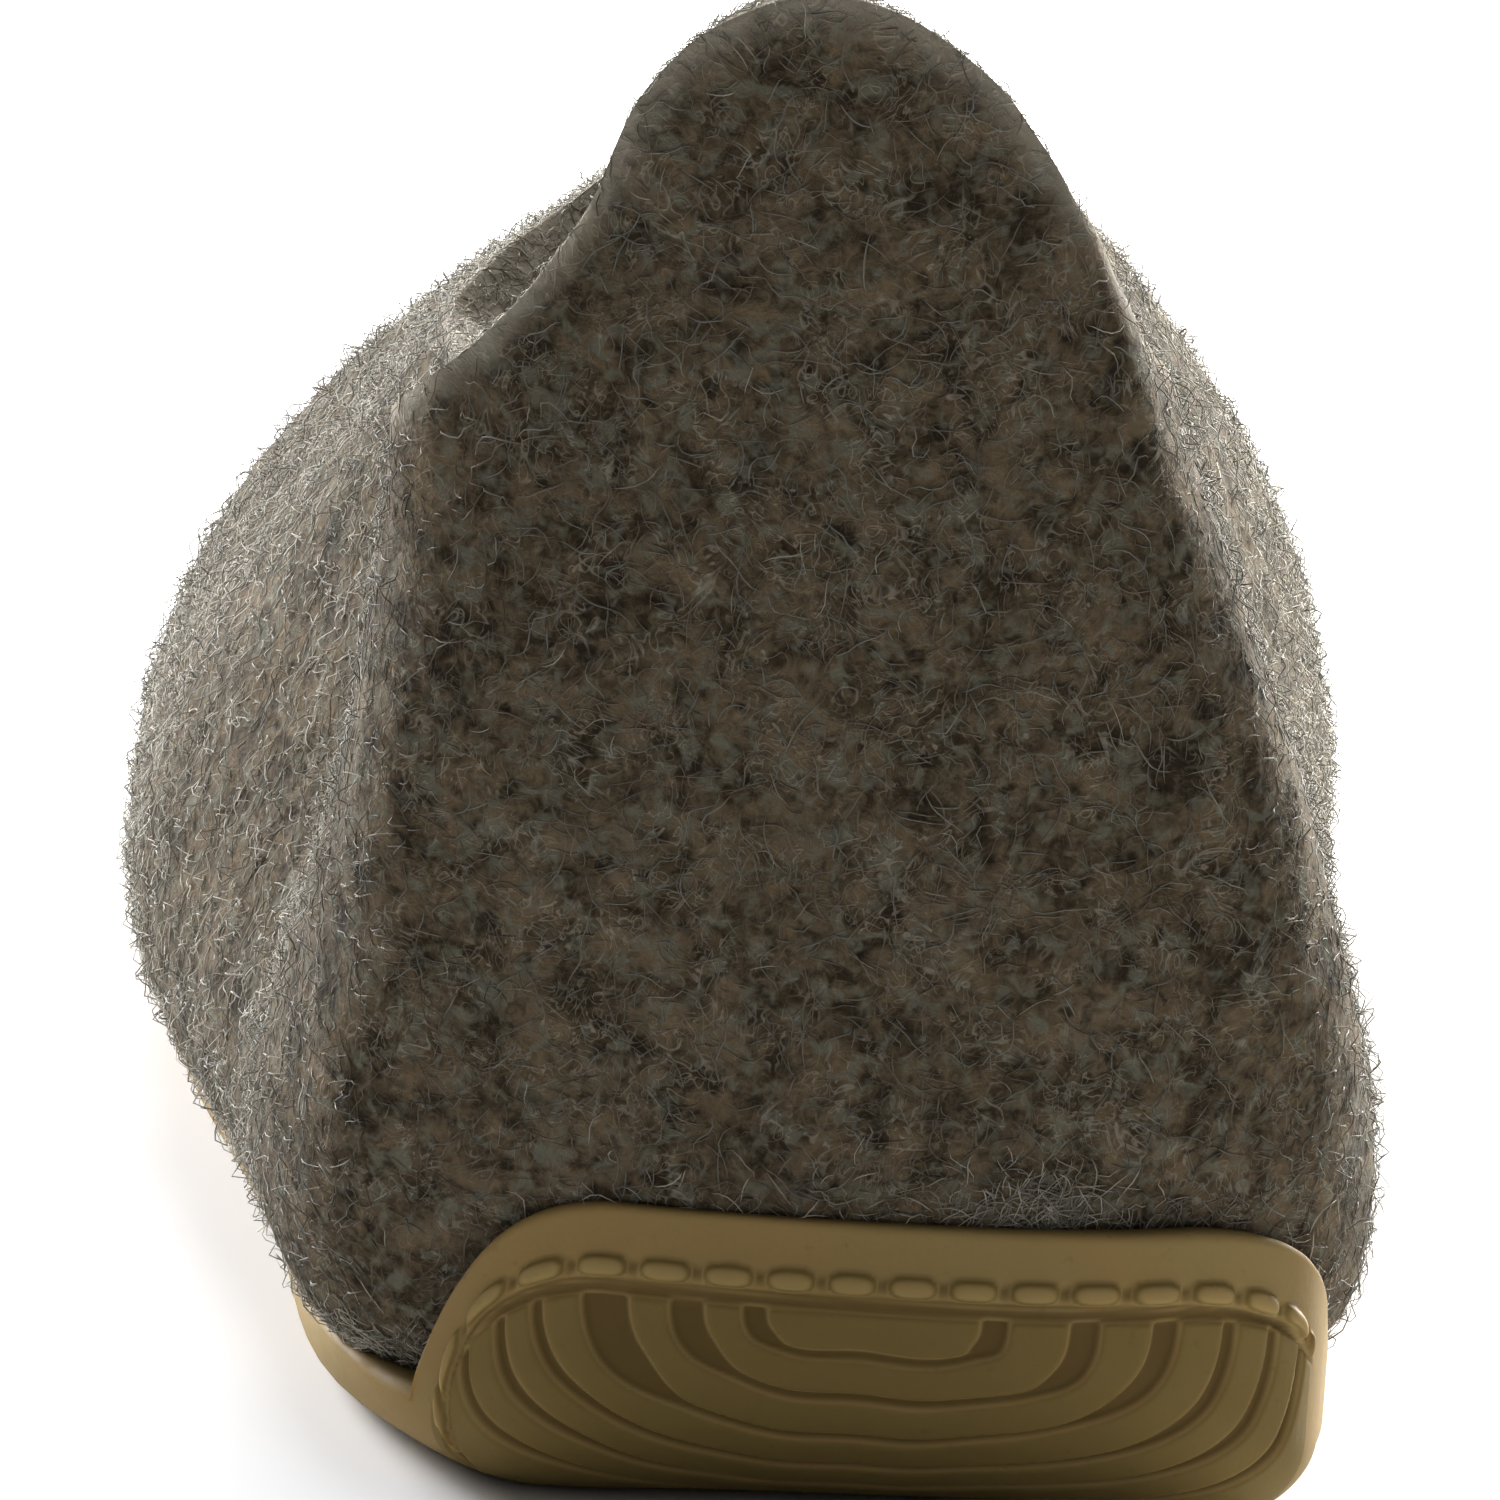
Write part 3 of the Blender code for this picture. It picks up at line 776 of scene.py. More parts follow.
def groove_depths(along, down, sizes):
    """How deep each spot of the skin lies in the heel's grooves, from 0 to 1."""
    x = along / MM
    level = (down - sizes.groove_top) / MM
    fall = level + WAVE_HEIGHT * np.sin(WAVE_RATE * x + WAVE_SHIFT) * hill(x, WAVE_REACH)
    rows = np.array([GROOVE_START, *GROOVES, GROOVE_END])
    grid = np.linspace(NEST_FIRST, len(rows) - 1, NEST_STEPS)
    read = [np.interp(grid, np.arange(len(rows)), column) for column in rows.T]
    curves = Groove._make(read)
    outer = x > 0
    reach = np.where(outer[:, None], curves.outer_reach, curves.inner_reach)
    power = np.where(outer[:, None], curves.outer_square, curves.inner_square)
    sideways = (np.abs(x)[:, None] / reach) ** power
    downward = (np.clip(fall, 0, None)[:, None] / curves.fall) ** power
    excess = sideways + downward - 1
    after = np.clip((excess < 0).argmax(axis=1), 1, len(grid) - 1)
    after[excess[:, -1] > 0] = len(grid) - 1
    spot = np.arange(len(x))
    before = after - 1
    share = np.clip(excess[spot, before] / (excess[spot, before] - excess[spot, after]), 0, 1)
    nest = grid[before] + share * (grid[1] - grid[0])
    bottom = downward[spot, after] / np.maximum(sideways + downward, TINY)[spot, after]
    spread = (
        np.gradient(reach, grid, axis=1)[spot, after] * (1 - bottom)
        + np.gradient(curves.fall, grid)[after] * bottom
    )
    depth = np.zeros(len(x))
    narrowing = smoothstep(*NARROWING, bottom)
    for number, groove in enumerate(GROOVES, start=1):
        top_width = np.where(outer, groove.outer_width, groove.inner_width)
        half = (top_width + (groove.width - top_width) * narrowing) / 2
        gap = np.abs(nest - number) * spread
        cut = 1 - smoothstep(half - GROOVE_INSIDE, half + GROOVE_OUTSIDE, gap)
        depth = np.maximum(depth, cut)
    below = smoothstep(*STRIP_FOOT, level)
    strip = STRIP_DEPTH * smoothstep(*STRIP_TOP, level) * (1 - below)
    reach_end = np.where(outer, LAST_GROOVE.outer_reach, LAST_GROOVE.inner_reach)
    strip = strip * (1 - smoothstep(-STRIP_FADE, 0, np.abs(x) - reach_end))
    aside = np.maximum(np.abs(x - SLOT.across) - SLOT.half_width, 0)
    beyond = np.maximum(np.abs(fall - SLOT.down) - SLOT.half_length, 0)
    slot = np.exp(-(aside**2 + beyond**2) / SLOT.softness)
    return np.maximum(np.maximum(depth * below, strip), slot)


def turned_down(turn, x):
    """Fall of the row of stitches along one of its turns, and its steepness there."""
    share = np.clip((x - turn.start) / turn.span, 0, TURN_LIMIT)
    steepness = turn.power * turn.dip / turn.span * share ** (turn.power - 1)
    return turn.dip * share**turn.power, steepness


def band_relief(along, down, sizes):
    """Row of moulded stitches and the line under it, each from 0 to 1."""
    x = along / MM
    outer_dip, outer_slope = turned_down(OUTER_TURN, x)
    inner_dip, inner_slope = turned_down(INNER_TURN, -x)
    line = sizes.band_height + (outer_dip + inner_dip) * MM
    across = (down - line) / np.sqrt(1 + (outer_slope + inner_slope) ** 2)
    run = (along - sizes.bead_start) / sizes.bead_pitch
    # On the outer end the row turns down, and the stitches go on along it.
    run = run + outer_dip * MM / sizes.bead_pitch
    phase = (run + 0.5) % 1 - 0.5
    lengthwise = np.abs(phase) * sizes.bead_pitch / (sizes.bead_length / 2)
    widthwise = np.abs(across) / (sizes.bead_width / 2)
    solid = 1 - lengthwise**BEAD_LONG_POWER - widthwise**BEAD_WIDE_POWER
    bead = np.sqrt(np.clip(solid, 0, 1))
    under = hill(across - LINE_PLACE, LINE_WIDTH)
    between = np.clip(1 - widthwise, 0, 1) * smoothstep(*BETWEEN_BEADS, lengthwise)
    ends = (1 - smoothstep(*OUTER_ROW_END, x)) * (1 - smoothstep(*INNER_ROW_END, -x))
    return bead * ends, np.maximum(under, BETWEEN_DEPTH * between) * ends


def column_places(form):
    """Places along the outline, close together on the heel and wider elsewhere."""
    heel = np.arange(HEEL_INNER_END, HEEL_OUTER_END, HEEL_COLUMN)
    rest = form.period - (HEEL_OUTER_END - HEEL_INNER_END)
    rest = HEEL_OUTER_END + np.linspace(0, rest, REST_COLUMNS, endpoint=False)
    return np.concatenate([heel, rest])


def cup_rows(form, at, tree):
    """Rows inside the cup, from its bed up to the rubber's top edge, clear of the felt."""
    row = form.read(at)
    out = np.column_stack([form.outward(at), np.zeros(len(at))])
    bed = SOLE_BED + form.toe_lift(row[:, 1])
    lip = form.lip(at)
    found = []
    for share in np.linspace(0, 1, CUP_ROWS):
        height = bed + (lip - bed) * share
        look = np.maximum(height, bed + LOOK_LOWEST)
        start = form.moved(np.column_stack([row[:, :2], look])) + out * LOOK_FROM
        ring = np.empty((len(at), 3))
        for i in range(len(at)):
            hit = tree.ray_cast(Vector(start[i]), Vector(-out[i]), 2 * LOOK_FROM)[0]
            if hit is None:
                raise RuntimeError(f"no felt behind the rubber at {at[i]:.4f} m")
            ring[i] = np.array(hit) + out[i] * PIECE_GAP
        ring[:, 2] = height
        found.append(ring)
    return found


def make_sole_mesh(sizes):
    """The sole as one closed skin with its moulded relief."""
    form = SoleForm()
    at = column_places(form)
    rows = cup_rows(form, at, tree_of(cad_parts["upper"].data))
    along = np.where(at > form.period / 2, at - form.period, at) - sizes.groove_centre
    length = form.skin_length(at)
    edge, out = form.skin(at, np.zeros(len(at)))
    edge = form.moved(edge)
    ledge = np.linalg.norm((edge - rows[-1])[:, :2], axis=1)
    round_over = np.minimum(sizes.lip_round, LEDGE_SHARE * ledge)
    for turn in np.linspace(0, math.pi / 2, ROUND_ROWS):
        ring = edge - out * (round_over * (1 - math.sin(turn)))[:, None]
        ring[:, 2] -= round_over * (1 - math.cos(turn))
        rows.append(ring)
    relief_shading = [np.zeros(len(at)) for _ in rows]
    heel = 1 - smoothstep(*GROOVES_FADE, np.abs(along))
    for share in np.linspace(0, 1, SKIN_ROWS)[1:]:
        down = round_over + (length - round_over) * share
        points, normal = form.skin(at, down)
        groove = groove_depths(along, down, sizes) * heel
        bead, line = band_relief(along, down, sizes)
        raised = sizes.bead_height * bead - LINE_DEPTH * line - sizes.groove_depth * groove
        # Nothing is cut where the skin meets the floor.
        raised = raised * smoothstep(*FLOOR_FADE, points[:, 2])
        rows.append(form.moved(points + normal * raised[:, None]))
        # Painted shade and highlight: the tone darkens the heel's ribs, the grooves and the line,
        # and lightens the stitches.
        rib_shade = RIB_SHADE * smoothstep(*RIB_TOP, down) * (np.abs(along) < RIB_REACH)
        low = np.maximum(groove, LINE_SHADE * line)
        relief_shading.append(np.clip(np.maximum(rib_shade, bead) * (1 - low) - low, -1, 1))
    return skin_of_rows("outsole_rubber", np.array(rows), np.array(relief_shading))


def skin_of_rows(name, rows, relief_shading):
    """Closed mesh of a grid wrapped round the rows, both its ends filled."""
    count_rows, count, _ = rows.shape
    shape = bmesh.new()
    bmesh.ops.create_grid(shape, x_segments=count, y_segments=count_rows - 1, size=0.5)
    relief = shape.verts.layers.float.new("relief")
    seam = []
    for vert in shape.verts:
        column = round((vert.co.x + 0.5) * count)
        row = round((vert.co.y + 0.5) * (count_rows - 1))
        if column in (0, count):
            seam.append(vert)
        vert[relief] = relief_shading[row, column % count]
        vert.co = rows[row, column % count]
    bmesh.ops.remove_doubles(shape, verts=seam, dist=SEAM_WELD)
    open_edges = [edge for edge in shape.edges if edge.is_boundary]
    bmesh.ops.triangle_fill(shape, use_beauty=True, edges=open_edges)
    bmesh.ops.recalc_face_normals(shape, faces=shape.faces)
    mesh = bpy.data.meshes.new(name)
    shape.to_mesh(mesh)
    shape.free()
    mesh.shade_smooth()
    return mesh


# Materials

PIT_BEND = 1.6 * MM
RIM_PAINTED_GLOW = 0.5                # painted glow: how much lighter the felt is painted along the collar's rim, for light shining through its fuzz
COOL_SHARE = 0.75
STRAND_SHARE = 0.30


def new_group(name, inputs, outputs):
    """Node group with its named sockets, and the nodes at either end of it."""
    group = bpy.data.node_groups.new(name, "ShaderNodeTree")
    for way, sockets in (("INPUT", inputs), ("OUTPUT", outputs)):
        for label, kind in sockets:
            group.interface.new_socket(label, in_out=way, socket_type=kind)
    return group, group.nodes.new("NodeGroupInput"), group.nodes.new("NodeGroupOutput")


def add_node(tree, kind, values=(), **settings):
    """New node with its settings and the values of its named inputs."""
    node = tree.nodes.new(kind)
    for key, value in settings.items():
        setattr(node, key, value)
    for key, value in dict(values).items():
        node.inputs[key].default_value = value
    return node


def add_noise(tree, vector, scale, detail, distortion=0.0, roughness=0.55):
    node = add_node(
        tree, "ShaderNodeTexNoise",
        {"Scale": scale, "Detail": detail, "Distortion": distortion, "Roughness": roughness},
    )
    tree.links.new(vector, node.inputs["Vector"])
    return node.outputs["Fac"]


def add_range(tree, value, low, high, to_low=0, to_high=1):
    """A value's smooth way from one end of a range to the other."""
    node = add_node(
        tree, "ShaderNodeMapRange",
        {"From Min": low, "From Max": high, "To Min": to_low, "To Max": to_high},
        interpolation_type="SMOOTHSTEP",
    )
    tree.links.new(value, node.inputs["Value"])
    return node.outputs["Result"]


def add_math(tree, operation, first, second):
    node = tree.nodes.new("ShaderNodeMath")
    node.operation = operation
    for socket, value in zip(node.inputs, (first, second)):
        if isinstance(value, (int, float)):
            socket.default_value = value
        else:
            tree.links.new(value, socket)
    return node.outputs["Value"]


def add_sum(tree, *terms):
    """Sum of values, each times its weight."""
    total = None
    for value, weight in terms:
        part = add_math(tree, "MULTIPLY", value, weight)
        total = part if total is None else add_math(tree, "ADD", total, part)
    return total


def add_mix(tree, share, first, second):
    """Colour between two, each a socket or a plain colour."""
    node = tree.nodes.new("ShaderNodeMix")
    node.data_type = "RGBA"
    node.clamp_factor = True
    for name, value in (("Factor", share), ("A", first), ("B", second)):
        socket = next(s for s in node.inputs if s.name == name and s.enabled)
        if isinstance(value, bpy.types.NodeSocket):
            tree.links.new(value, socket)
        else:
            socket.default_value = (*value, 1)
    return next(s for s in node.outputs if s.enabled)


def add_bump(tree, height, strength, distance, shader):
    node = add_node(tree, "ShaderNodeBump", {"Strength": strength, "Distance": distance})
    tree.links.new(height, node.inputs["Height"])
    tree.links.new(node.outputs["Normal"], shader.inputs["Normal"])


def make_wool_group():
    """Matted wool: dark and light flecks with painted shade in the pits, cool flecks, and thin
    curled strands.
    """
    group, start, end = new_group(
        "matted wool",
        [("Vector", "NodeSocketVector")],
        [(name, "NodeSocketFloat") for name in ("Fleck_and_pit_shade", "Cool", "Strand", "Height")],
    )
    links = group.links
    place = start.outputs["Vector"]
    fleck = add_noise(group, place, scale=900, detail=4, distortion=0.9, roughness=0.65)
    broad = add_noise(group, place, scale=300, detail=3, distortion=0.4)
    cloud = add_noise(group, place, scale=150, detail=2)
    cool = add_noise(group, place, scale=700, detail=2, distortion=0.6)
    fine = add_noise(group, place, scale=2400, detail=3)
    # Pits between the matted strands, bent out of round
    warp = add_node(group, "ShaderNodeTexNoise", {"Scale": 500, "Detail": 2})
    links.new(place, warp.inputs["Vector"])
    bent = add_node(group, "ShaderNodeVectorMath", operation="MULTIPLY_ADD")
    links.new(warp.outputs["Color"], bent.inputs[0])
    bent.inputs[1].default_value = (PIT_BEND, PIT_BEND, PIT_BEND)
    links.new(place, bent.inputs[2])
    pits = add_node(group, "ShaderNodeTexVoronoi", {"Scale": 360, "Randomness": 1.0})
    links.new(bent.outputs["Vector"], pits.inputs["Vector"])
    pit = add_range(group, pits.outputs["Distance"], 0.05, 0.30, 1, 0)
    # Thin lines along the levels of a bent noise
    strands = []
    for scale, waves, thin in ((190, 9, 0.10), (330, 6, 0.12)):
        field = add_noise(group, place, scale, detail=2, distortion=1.6, roughness=0.5)
        wave = add_math(group, "PINGPONG", add_math(group, "MULTIPLY", field, waves), 0.5)
        strands.append(add_range(group, wave, 0, thin, 1, 0))
    strand = add_math(group, "MAXIMUM", *strands)
    patchy = add_range(group, add_noise(group, place, scale=260, detail=2), 0.40, 0.62, 0.15, 1)
    strand = add_math(group, "MULTIPLY", strand, patchy)
    # Painted shade: the pits darken the mottling, for the shade down in them.
    mottling_and_pit_shade = add_sum(group, (fleck, 0.50), (broad, 0.50), (cloud, 0.12), (pit, -0.13))
    height = add_sum(group, (fleck, 0.8), (strand, 0.30), (fine, 0.35), (pit, -0.5))
    links.new(add_range(group, mottling_and_pit_shade, 0.41, 0.72), end.inputs["Fleck_and_pit_shade"])
    links.new(add_range(group, cool, 0.48, 0.70), end.inputs["Cool"])
    links.new(strand, end.inputs["Strand"])
    links.new(height, end.inputs["Height"])


def new_material(name, roughness, specular):
    material = bpy.data.materials.new(name)
    material.use_nodes = True
    tree = material.node_tree
    shader = tree.nodes["Principled BSDF"]
    shader.inputs["Roughness"].default_value = roughness
    shader.inputs["Specular IOR Level"].default_value = specular
    return material, tree, shader


def make_felt_material(name, sizes, lightness):
    material, tree, shader = new_material(name, 0.95, 0.05)
    place = tree.nodes.new("ShaderNodeTexCoord").outputs["Object"]
    # The wool is combed along the shoe.
    combed = add_node(tree, "ShaderNodeMapping", {"Scale": (1, 0.5, 1)})
    tree.links.new(place, combed.inputs["Vector"])
    wool = tree.nodes.new("ShaderNodeGroup")
    wool.node_tree = bpy.data.node_groups["matted wool"]
    tree.links.new(combed.outputs["Vector"], wool.inputs["Vector"])
    dark, brown, grey, pale = (
        tuple(lightness * part for part in color)
        for color in (sizes.dark, sizes.brown, sizes.cool, sizes.pale)
    )
    # Partly painted shade: the flecks and the pits' painted shade go towards the dark wool.
    color = add_mix(tree, wool.outputs["Fleck_and_pit_shade"], dark, brown)
    cool = add_math(tree, "MULTIPLY", wool.outputs["Cool"], COOL_SHARE)
    color = add_mix(tree, cool, color, grey)
    strand = add_math(tree, "MULTIPLY", wool.outputs["Strand"], STRAND_SHARE)
    color = add_mix(tree, strand, color, pale)
    # Painted glow: the felt is painted lighter along the collar's rim, standing in for light
    # shining through its fuzz.
    rim = add_node(tree, "ShaderNodeAttribute", attribute_name="rim").outputs["Fac"]
    color = add_mix(tree, add_math(tree, "MULTIPLY", rim, RIM_PAINTED_GLOW), color, pale)
    tree.links.new(color, shader.inputs["Base Color"])
    add_bump(tree, wool.outputs["Height"], 0.5, 0.7 * MM, shader)
    return material


def make_fibre_material(sizes):
    """Wool fibre, from dark to pale by the fibre's own tone."""
    material, tree, shader = new_material("wool fibre", 0.7, 0.3)
    shader.inputs["Sheen Weight"].default_value = 0.2
    tone = add_node(tree, "ShaderNodeAttribute", attribute_name="tone").outputs["Fac"]
    color = add_mix(tree, add_range(tree, tone, 0.0, 0.45), sizes.dark, sizes.brown)
    color = add_mix(tree, add_range(tree, tone, 0.40, 0.70), color, sizes.cool)
    color = add_mix(tree, add_range(tree, tone, 0.65, 1.0), color, sizes.pale)
    tree.links.new(color, shader.inputs["Base Color"])
    return material


def make_rubber_material(sizes):
    """Gum rubber, with painted shade in the grooves, the line and the heel's ribs and a painted
    highlight on the stitches, by the skin's own relief.
    """
    material, tree, shader = new_material("gum rubber", 0.5, 0.10)
    shader.inputs["Subsurface Weight"].default_value = 0.18
    shader.inputs["Subsurface Radius"].default_value = (1.0, 0.5, 0.15)
    shader.inputs["Subsurface Scale"].default_value = 2.5 * MM
    place = tree.nodes.new("ShaderNodeTexCoord").outputs["Object"]
    relief = add_node(tree, "ShaderNodeAttribute", attribute_name="relief").outputs["Fac"]
    cloud = add_noise(tree, place, scale=55, detail=4, distortion=0.5)
    speck = add_range(tree, add_noise(tree, place, scale=900, detail=3), 0.62, 0.75, 0, 0.25)
    # Painted highlight: the tops of the stitches are painted lighter.
    bead_highlight = tuple(1.15 * part for part in sizes.ochre)
    color = add_mix(tree, add_range(tree, cloud, 0.35, 0.68), sizes.ochre, sizes.amber)
    # Painted shade: olive on the heel's ribs and the flanks of the stitches
    color = add_mix(tree, add_range(tree, relief, 0.0, 0.4), color, sizes.olive)
    # Painted shade down in the grooves and in the line under the stitches
    color = add_mix(tree, add_range(tree, relief, -0.9, 0.0, 1, 0), color, sizes.umber)
    # Painted highlight on the tops of the stitches
    color = add_mix(tree, add_range(tree, relief, 0.5, 0.9), color, bead_highlight)
    color = add_mix(tree, speck, color, sizes.umber)
    tree.links.new(color, shader.inputs["Base Color"])
    dull = add_range(tree, add_noise(tree, place, scale=260, detail=3), 0.3, 0.7, 0.62, 0.78)
    tree.links.new(dull, shader.inputs["Roughness"])
    add_bump(tree, add_noise(tree, place, scale=1500, detail=3), 0.25, 0.15 * MM, shader)
    return material


# Operators

class SHOE_OT_felt_upper(bpy.types.Operator):
    """Felt upper: the frame's shell, rounded, with its folds and lumps"""

    bl_idname = "house_shoe.felt_upper"
    bl_label = "Felt upper"

    def execute(self, context):
        sizes = context.scene.house_shoe_felt
        make_wool_group()
        mesh = rounded_copy("upper", sizes.rounding)
        mesh.name = "felt_upper"
        shape_felt(mesh, sizes)
        mark_rim(mesh)
        felt = make_felt_material("wool felt", sizes, 1.0)
        obj = add_piece("felt_upper", mesh, felt)
        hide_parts("upper")
        return {"FINISHED"}


class SHOE_OT_fibres(bpy.types.Operator):
    """Loose wool fibres over the felt, in one piece for each side of the shoe"""

    bl_idname = "house_shoe.fibres"
    bl_label = "Wool fibres"

    def execute(self, context):
        sizes = context.scene.house_shoe_fibres
        felt = bpy.data.objects["felt_upper"].data
        material = make_fibre_material(context.scene.house_shoe_felt)
        tree = tree_of(felt)
        draw = np.random.default_rng(SEED)
        quick = 1.0
        plan = (
            (MAT, sizes.mat_count, self.nap),
            (LOOP, sizes.loop_count, self.cover),
            (STRAY, sizes.stray_count, self.cover),
            (HEM, sizes.hem_count, self.hem),
            (RIM, sizes.rim_count, partial(rim_share, tree)),
        )
        regions = {}
        for kind, count, weight in plan:
            spots, normals = scatter(draw, felt, weight, max(FEWEST, int(count * quick)))
            paths, above = fibre_paths(draw, spots, normals, kind, tree)
            radius = sizes.thickness / 2 * kind.thickness * draw.uniform(*RADII, len(spots))
            along = behind_heel(spots)
            # Painted light: lighter tones on the sides stand in for the side lamps' light.
            side_light = smoothstep(*SIDE_LIGHT_START, along) * (1 - SIDE_LIGHT_LESS * smoothstep(*SIDE_LIGHT_END, along))
            tones = draw.normal(kind.tone, kind.spread, len(spots)) + SIDE_LIGHT_TONE * side_light
            tones = np.clip(tones, 0, kind.palest + (1 - kind.palest) * side_light)
            places = self.region(spots, normals)
            for name in np.unique(places):
                chosen = places == name
                batch = (paths[chosen], above[chosen], radius[chosen], tones[chosen])
                regions.setdefault(str(name), []).append(batch)
        for name in sorted(regions):
            mesh = fibre_mesh(f"fibres_{name}", regions[name])
            add_piece(f"fibres_{name}", mesh, material)
        return {"FINISHED"}

    @staticmethod
    def cover(points, normals):
        """Fibres all over the outside, thickest on the sides, and few inside the collar."""
        outer = outward_share(points, normals)
        along = behind_heel(points)
        more = SIDE_MORE * smoothstep(*COVER_SIDE, along)
        less = TOE_LESS * smoothstep(*COVER_TOE, along)
        inside = INSIDE_SHARE * smoothstep(*COVER_INSIDE, points[:, 2])
        return np.where(outer > 0, 1 + more - less, inside)

    @staticmethod
    def nap(points, normals):
        """Thickest on the heel."""
        outer = outward_share(points, normals)
        ahead = smoothstep(*NAP_END, behind_heel(points))
        return np.where(outer > 0, 1 - NAP_LESS * ahead, NAP_INSIDE)

    @staticmethod
    def hem(points, normals):
        """Only along the rubber's top edge."""
        outer = outward_share(points, normals)
        along = behind_heel(points)
        edge = lip_height(points[:, 0], along)
        near = hill(points[:, 2] - edge - HEM_HEIGHT, HEM_WIDTH)
        tufts = np.ones(len(points))
        for tuft in TUFTS:
            gap = np.hypot(points[:, 0] - tuft.across * MM, along - tuft.along * MM)
            tufts += tuft.share * hill(gap, tuft.span * MM)
        return np.where(outer > 0, near * tufts, 0)

    @staticmethod
    def region(points, normals):
        """Name of the piece that a fibre belongs to."""
        inner = outward_share(points, normals) < 0
        outer = points[:, 0] < 0
        along = behind_heel(points)
        side = np.where(outer, "outer_vamp", "inner_vamp")
        quarter = np.where(outer, "outer_quarter", "inner_quarter")
        side = np.where(along < QUARTER_END, quarter, side)
        side = np.where(along > VAMP_END, "toe", side)
        side = np.where(along < HEEL_END, "heel", side)
        return np.where(inner, "inside", side)


class SHOE_OT_rubber_sole(bpy.types.Operator):
    """Moulded rubber sole with its heel shield, moulded stitches and nested grooves"""

    bl_idname = "house_shoe.rubber_sole"
    bl_label = "Rubber sole"

    def execute(self, context):
        sizes = context.scene.house_shoe_rubber
        mesh = make_sole_mesh(sizes)
        obj = add_piece("rubber_sole", mesh, make_rubber_material(sizes))
        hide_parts("outsole")
        return {"FINISHED"}


class SHOE_OT_insole(bpy.types.Operator):
    """Felt insole: the frame's own solid in felt"""

    bl_idname = "house_shoe.insole"
    bl_label = "Insole"

    def execute(self, context):
        felt = make_felt_material("footbed felt", context.scene.house_shoe_felt, 1.25)
        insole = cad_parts["insole"]
        insole.data.materials.clear()
        insole.data.materials.append(felt)
        return {"FINISHED"}


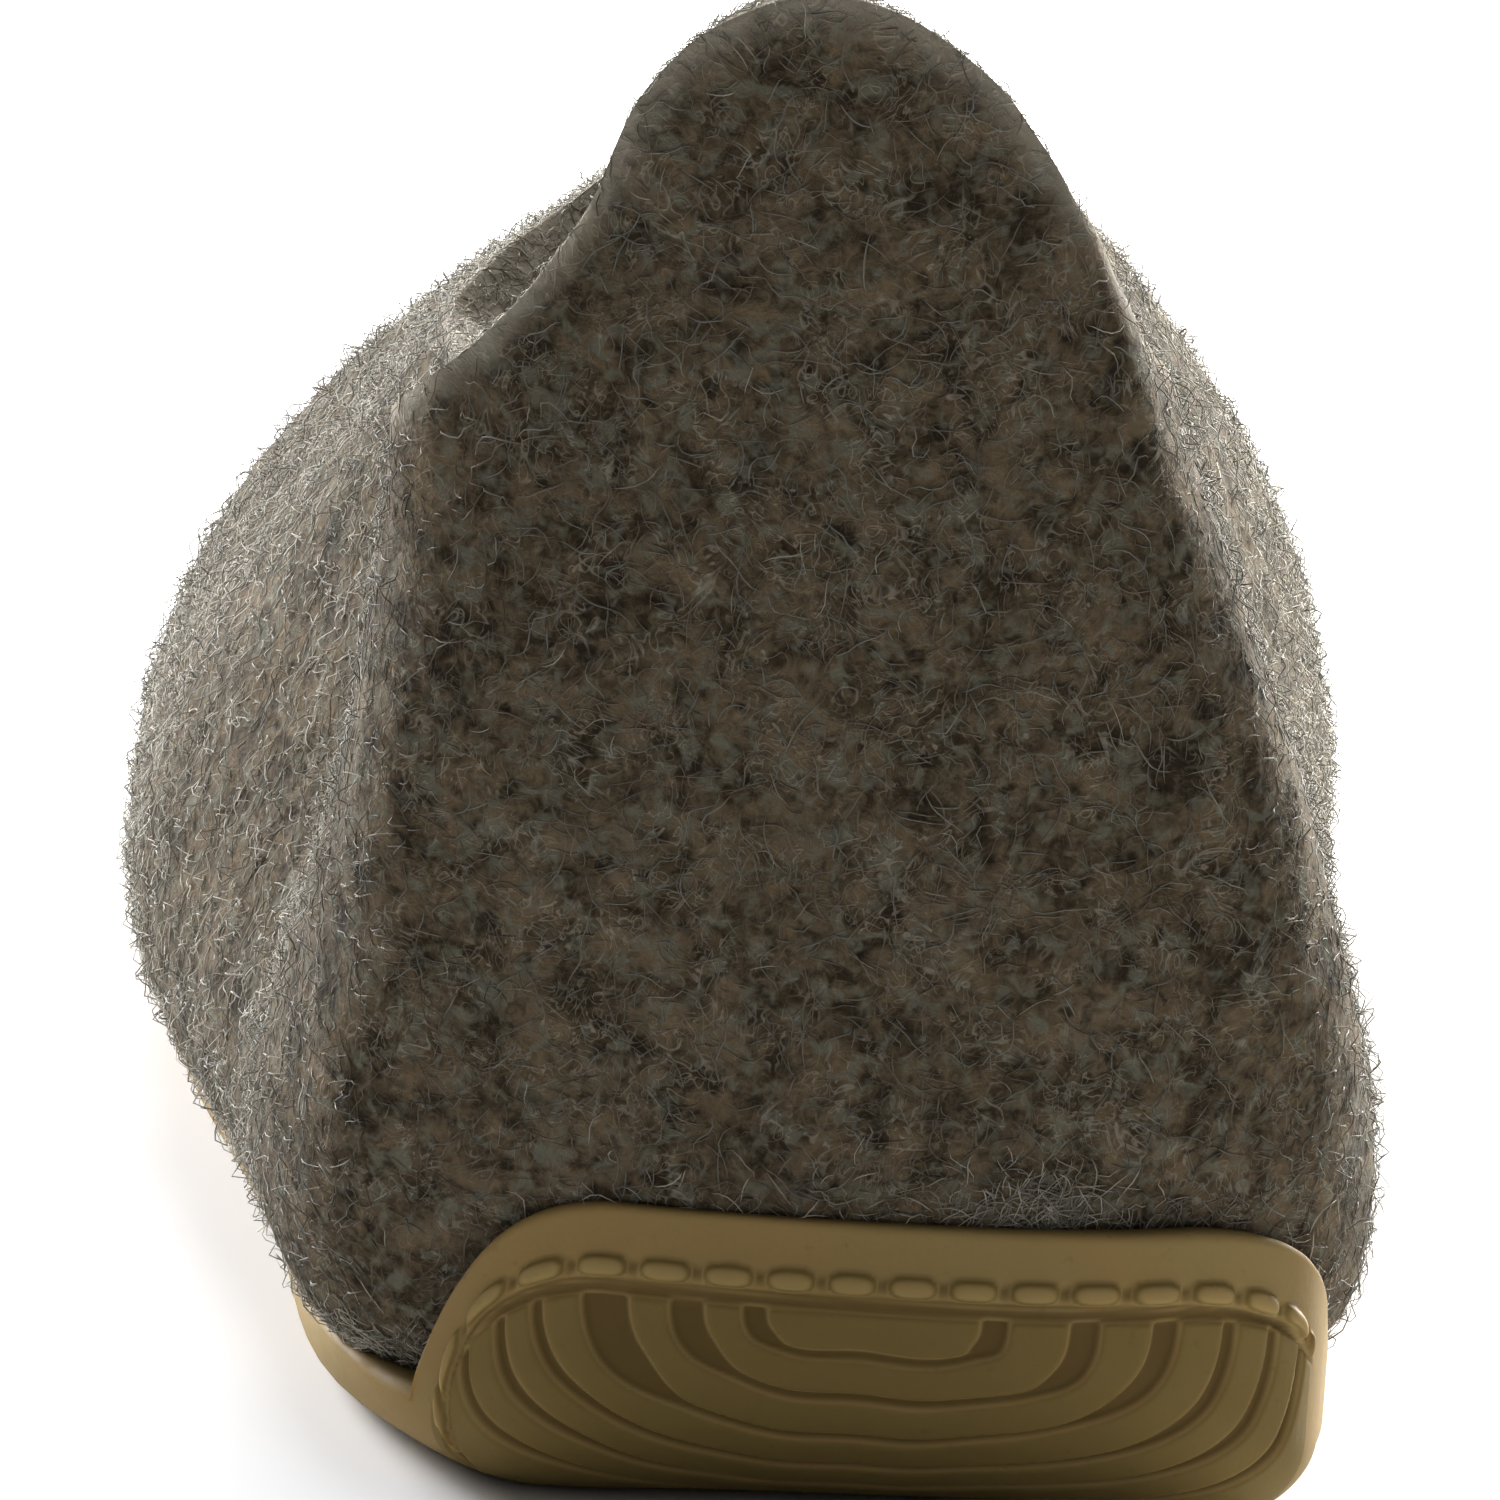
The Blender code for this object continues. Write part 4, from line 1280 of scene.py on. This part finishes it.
class SHOE_OT_stage(bpy.types.Operator):
    """Pale floor, soft lights and the camera"""

    bl_idname = "house_shoe.stage"
    bl_label = "Studio"

    def execute(self, context):
        sizes = context.scene.house_shoe_stage
        self.make_floor(sizes)
        self.make_lights()
        self.make_camera(context, sizes)
        context.scene.view_settings.view_transform = "Standard"
        context.scene.view_settings.look = "None"
        return {"FINISHED"}

    @staticmethod
    def make_floor(sizes):
        shape = bmesh.new()
        bmesh.ops.create_grid(shape, x_segments=1, y_segments=1, size=FLOOR_SIZE)
        mesh = bpy.data.meshes.new("floor")
        shape.to_mesh(mesh)
        shape.free()
        floor = bpy.data.objects.new("floor", mesh)
        bpy.context.scene.collection.objects.link(floor)
        material, _, shader = new_material("pale floor", 0.8, 0.1)
        shader.inputs["Base Color"].default_value = (*sizes.floor_color, 1)
        mesh.materials.append(material)

    @staticmethod
    def make_lights():
        for lamp in LAMPS:
            light = bpy.data.lights.new(lamp.name, "AREA")
            light.shape = "SQUARE"
            light.size = lamp.size
            light.energy = lamp.power
            light.color = lamp.color
            obj = bpy.data.objects.new(lamp.name, light)
            bpy.context.scene.collection.objects.link(obj)
            obj.location = lamp.place
            look = Vector(lamp.target) - Vector(lamp.place)
            obj.rotation_euler = look.to_track_quat("-Z", "Y").to_euler()
        world = bpy.data.worlds.new("studio")
        world.use_nodes = True
        sky = world.node_tree.nodes["Background"]
        sky.inputs["Color"].default_value = SKY_COLOR
        sky.inputs["Strength"].default_value = SKY_STRENGTH
        bpy.context.scene.world = world

    @staticmethod
    def make_camera(context, sizes):
        turn, tilt, roll = sizes.azimuth, sizes.elevation, sizes.roll
        back = Vector(
            (math.sin(turn) * math.cos(tilt), -math.cos(turn) * math.cos(tilt), math.sin(tilt))
        )
        level = Vector((math.cos(turn), math.sin(turn), 0))
        upright = back.cross(level)
        right = math.cos(roll) * level + math.sin(roll) * upright
        up = math.cos(roll) * upright - math.sin(roll) * level
        anchor = Vector((0, cad_low[1], sizes.anchor_height))
        eye = anchor + back * sizes.distance
        middle = FRAME_PIXELS / 2
        focal = sizes.pixels_per_mm / MM * sizes.distance
        look = -back * focal
        look += right * (middle - sizes.anchor_pixel_x) + up * (sizes.anchor_pixel_y - middle)
        look.normalize()
        axis_y = (up - look * up.dot(look)).normalized()
        axis_x = look.cross(axis_y)
        turned = Matrix((axis_x, axis_y, -look)).transposed().to_4x4()
        camera = bpy.data.cameras.new("camera")
        camera.sensor_width = SENSOR_WIDTH
        camera.lens = SENSOR_WIDTH * focal / FRAME_PIXELS
        obj = bpy.data.objects.new("camera", camera)
        context.scene.collection.objects.link(obj)
        obj.matrix_world = Matrix.Translation(eye) @ turned
        context.scene.camera = obj


class SHOE_PT_panel(bpy.types.Panel):
    """Makes the shoe's pieces and the studio"""

    bl_idname = "SHOE_PT_panel"
    bl_label = "House shoe"
    bl_space_type = "VIEW_3D"
    bl_region_type = "UI"
    bl_category = "House shoe"

    def draw(self, context):
        for step in STEPS:
            self.layout.operator(step.bl_idname)


STEPS = (
    SHOE_OT_felt_upper,
    SHOE_OT_fibres,
    SHOE_OT_rubber_sole,
    SHOE_OT_insole,
    SHOE_OT_stage,
)
SETTINGS = {
    "house_shoe_felt": FeltSizes,
    "house_shoe_fibres": FibreSizes,
    "house_shoe_rubber": RubberSizes,
    "house_shoe_stage": StageSizes,
}
CLASSES = (*SETTINGS.values(), *STEPS, SHOE_PT_panel)


def register():
    for item in CLASSES:
        bpy.utils.register_class(item)
    for name, group in SETTINGS.items():
        setattr(bpy.types.Scene, name, PointerProperty(type=group))


def unregister():
    for name in SETTINGS:
        delattr(bpy.types.Scene, name)
    for item in reversed(CLASSES):
        bpy.utils.unregister_class(item)


def main():
    register()
    bpy.ops.house_shoe.felt_upper()
    bpy.ops.house_shoe.fibres()
    bpy.ops.house_shoe.rubber_sole()
    bpy.ops.house_shoe.insole()
    bpy.ops.house_shoe.stage()


if __name__ == "__main__":
    main()
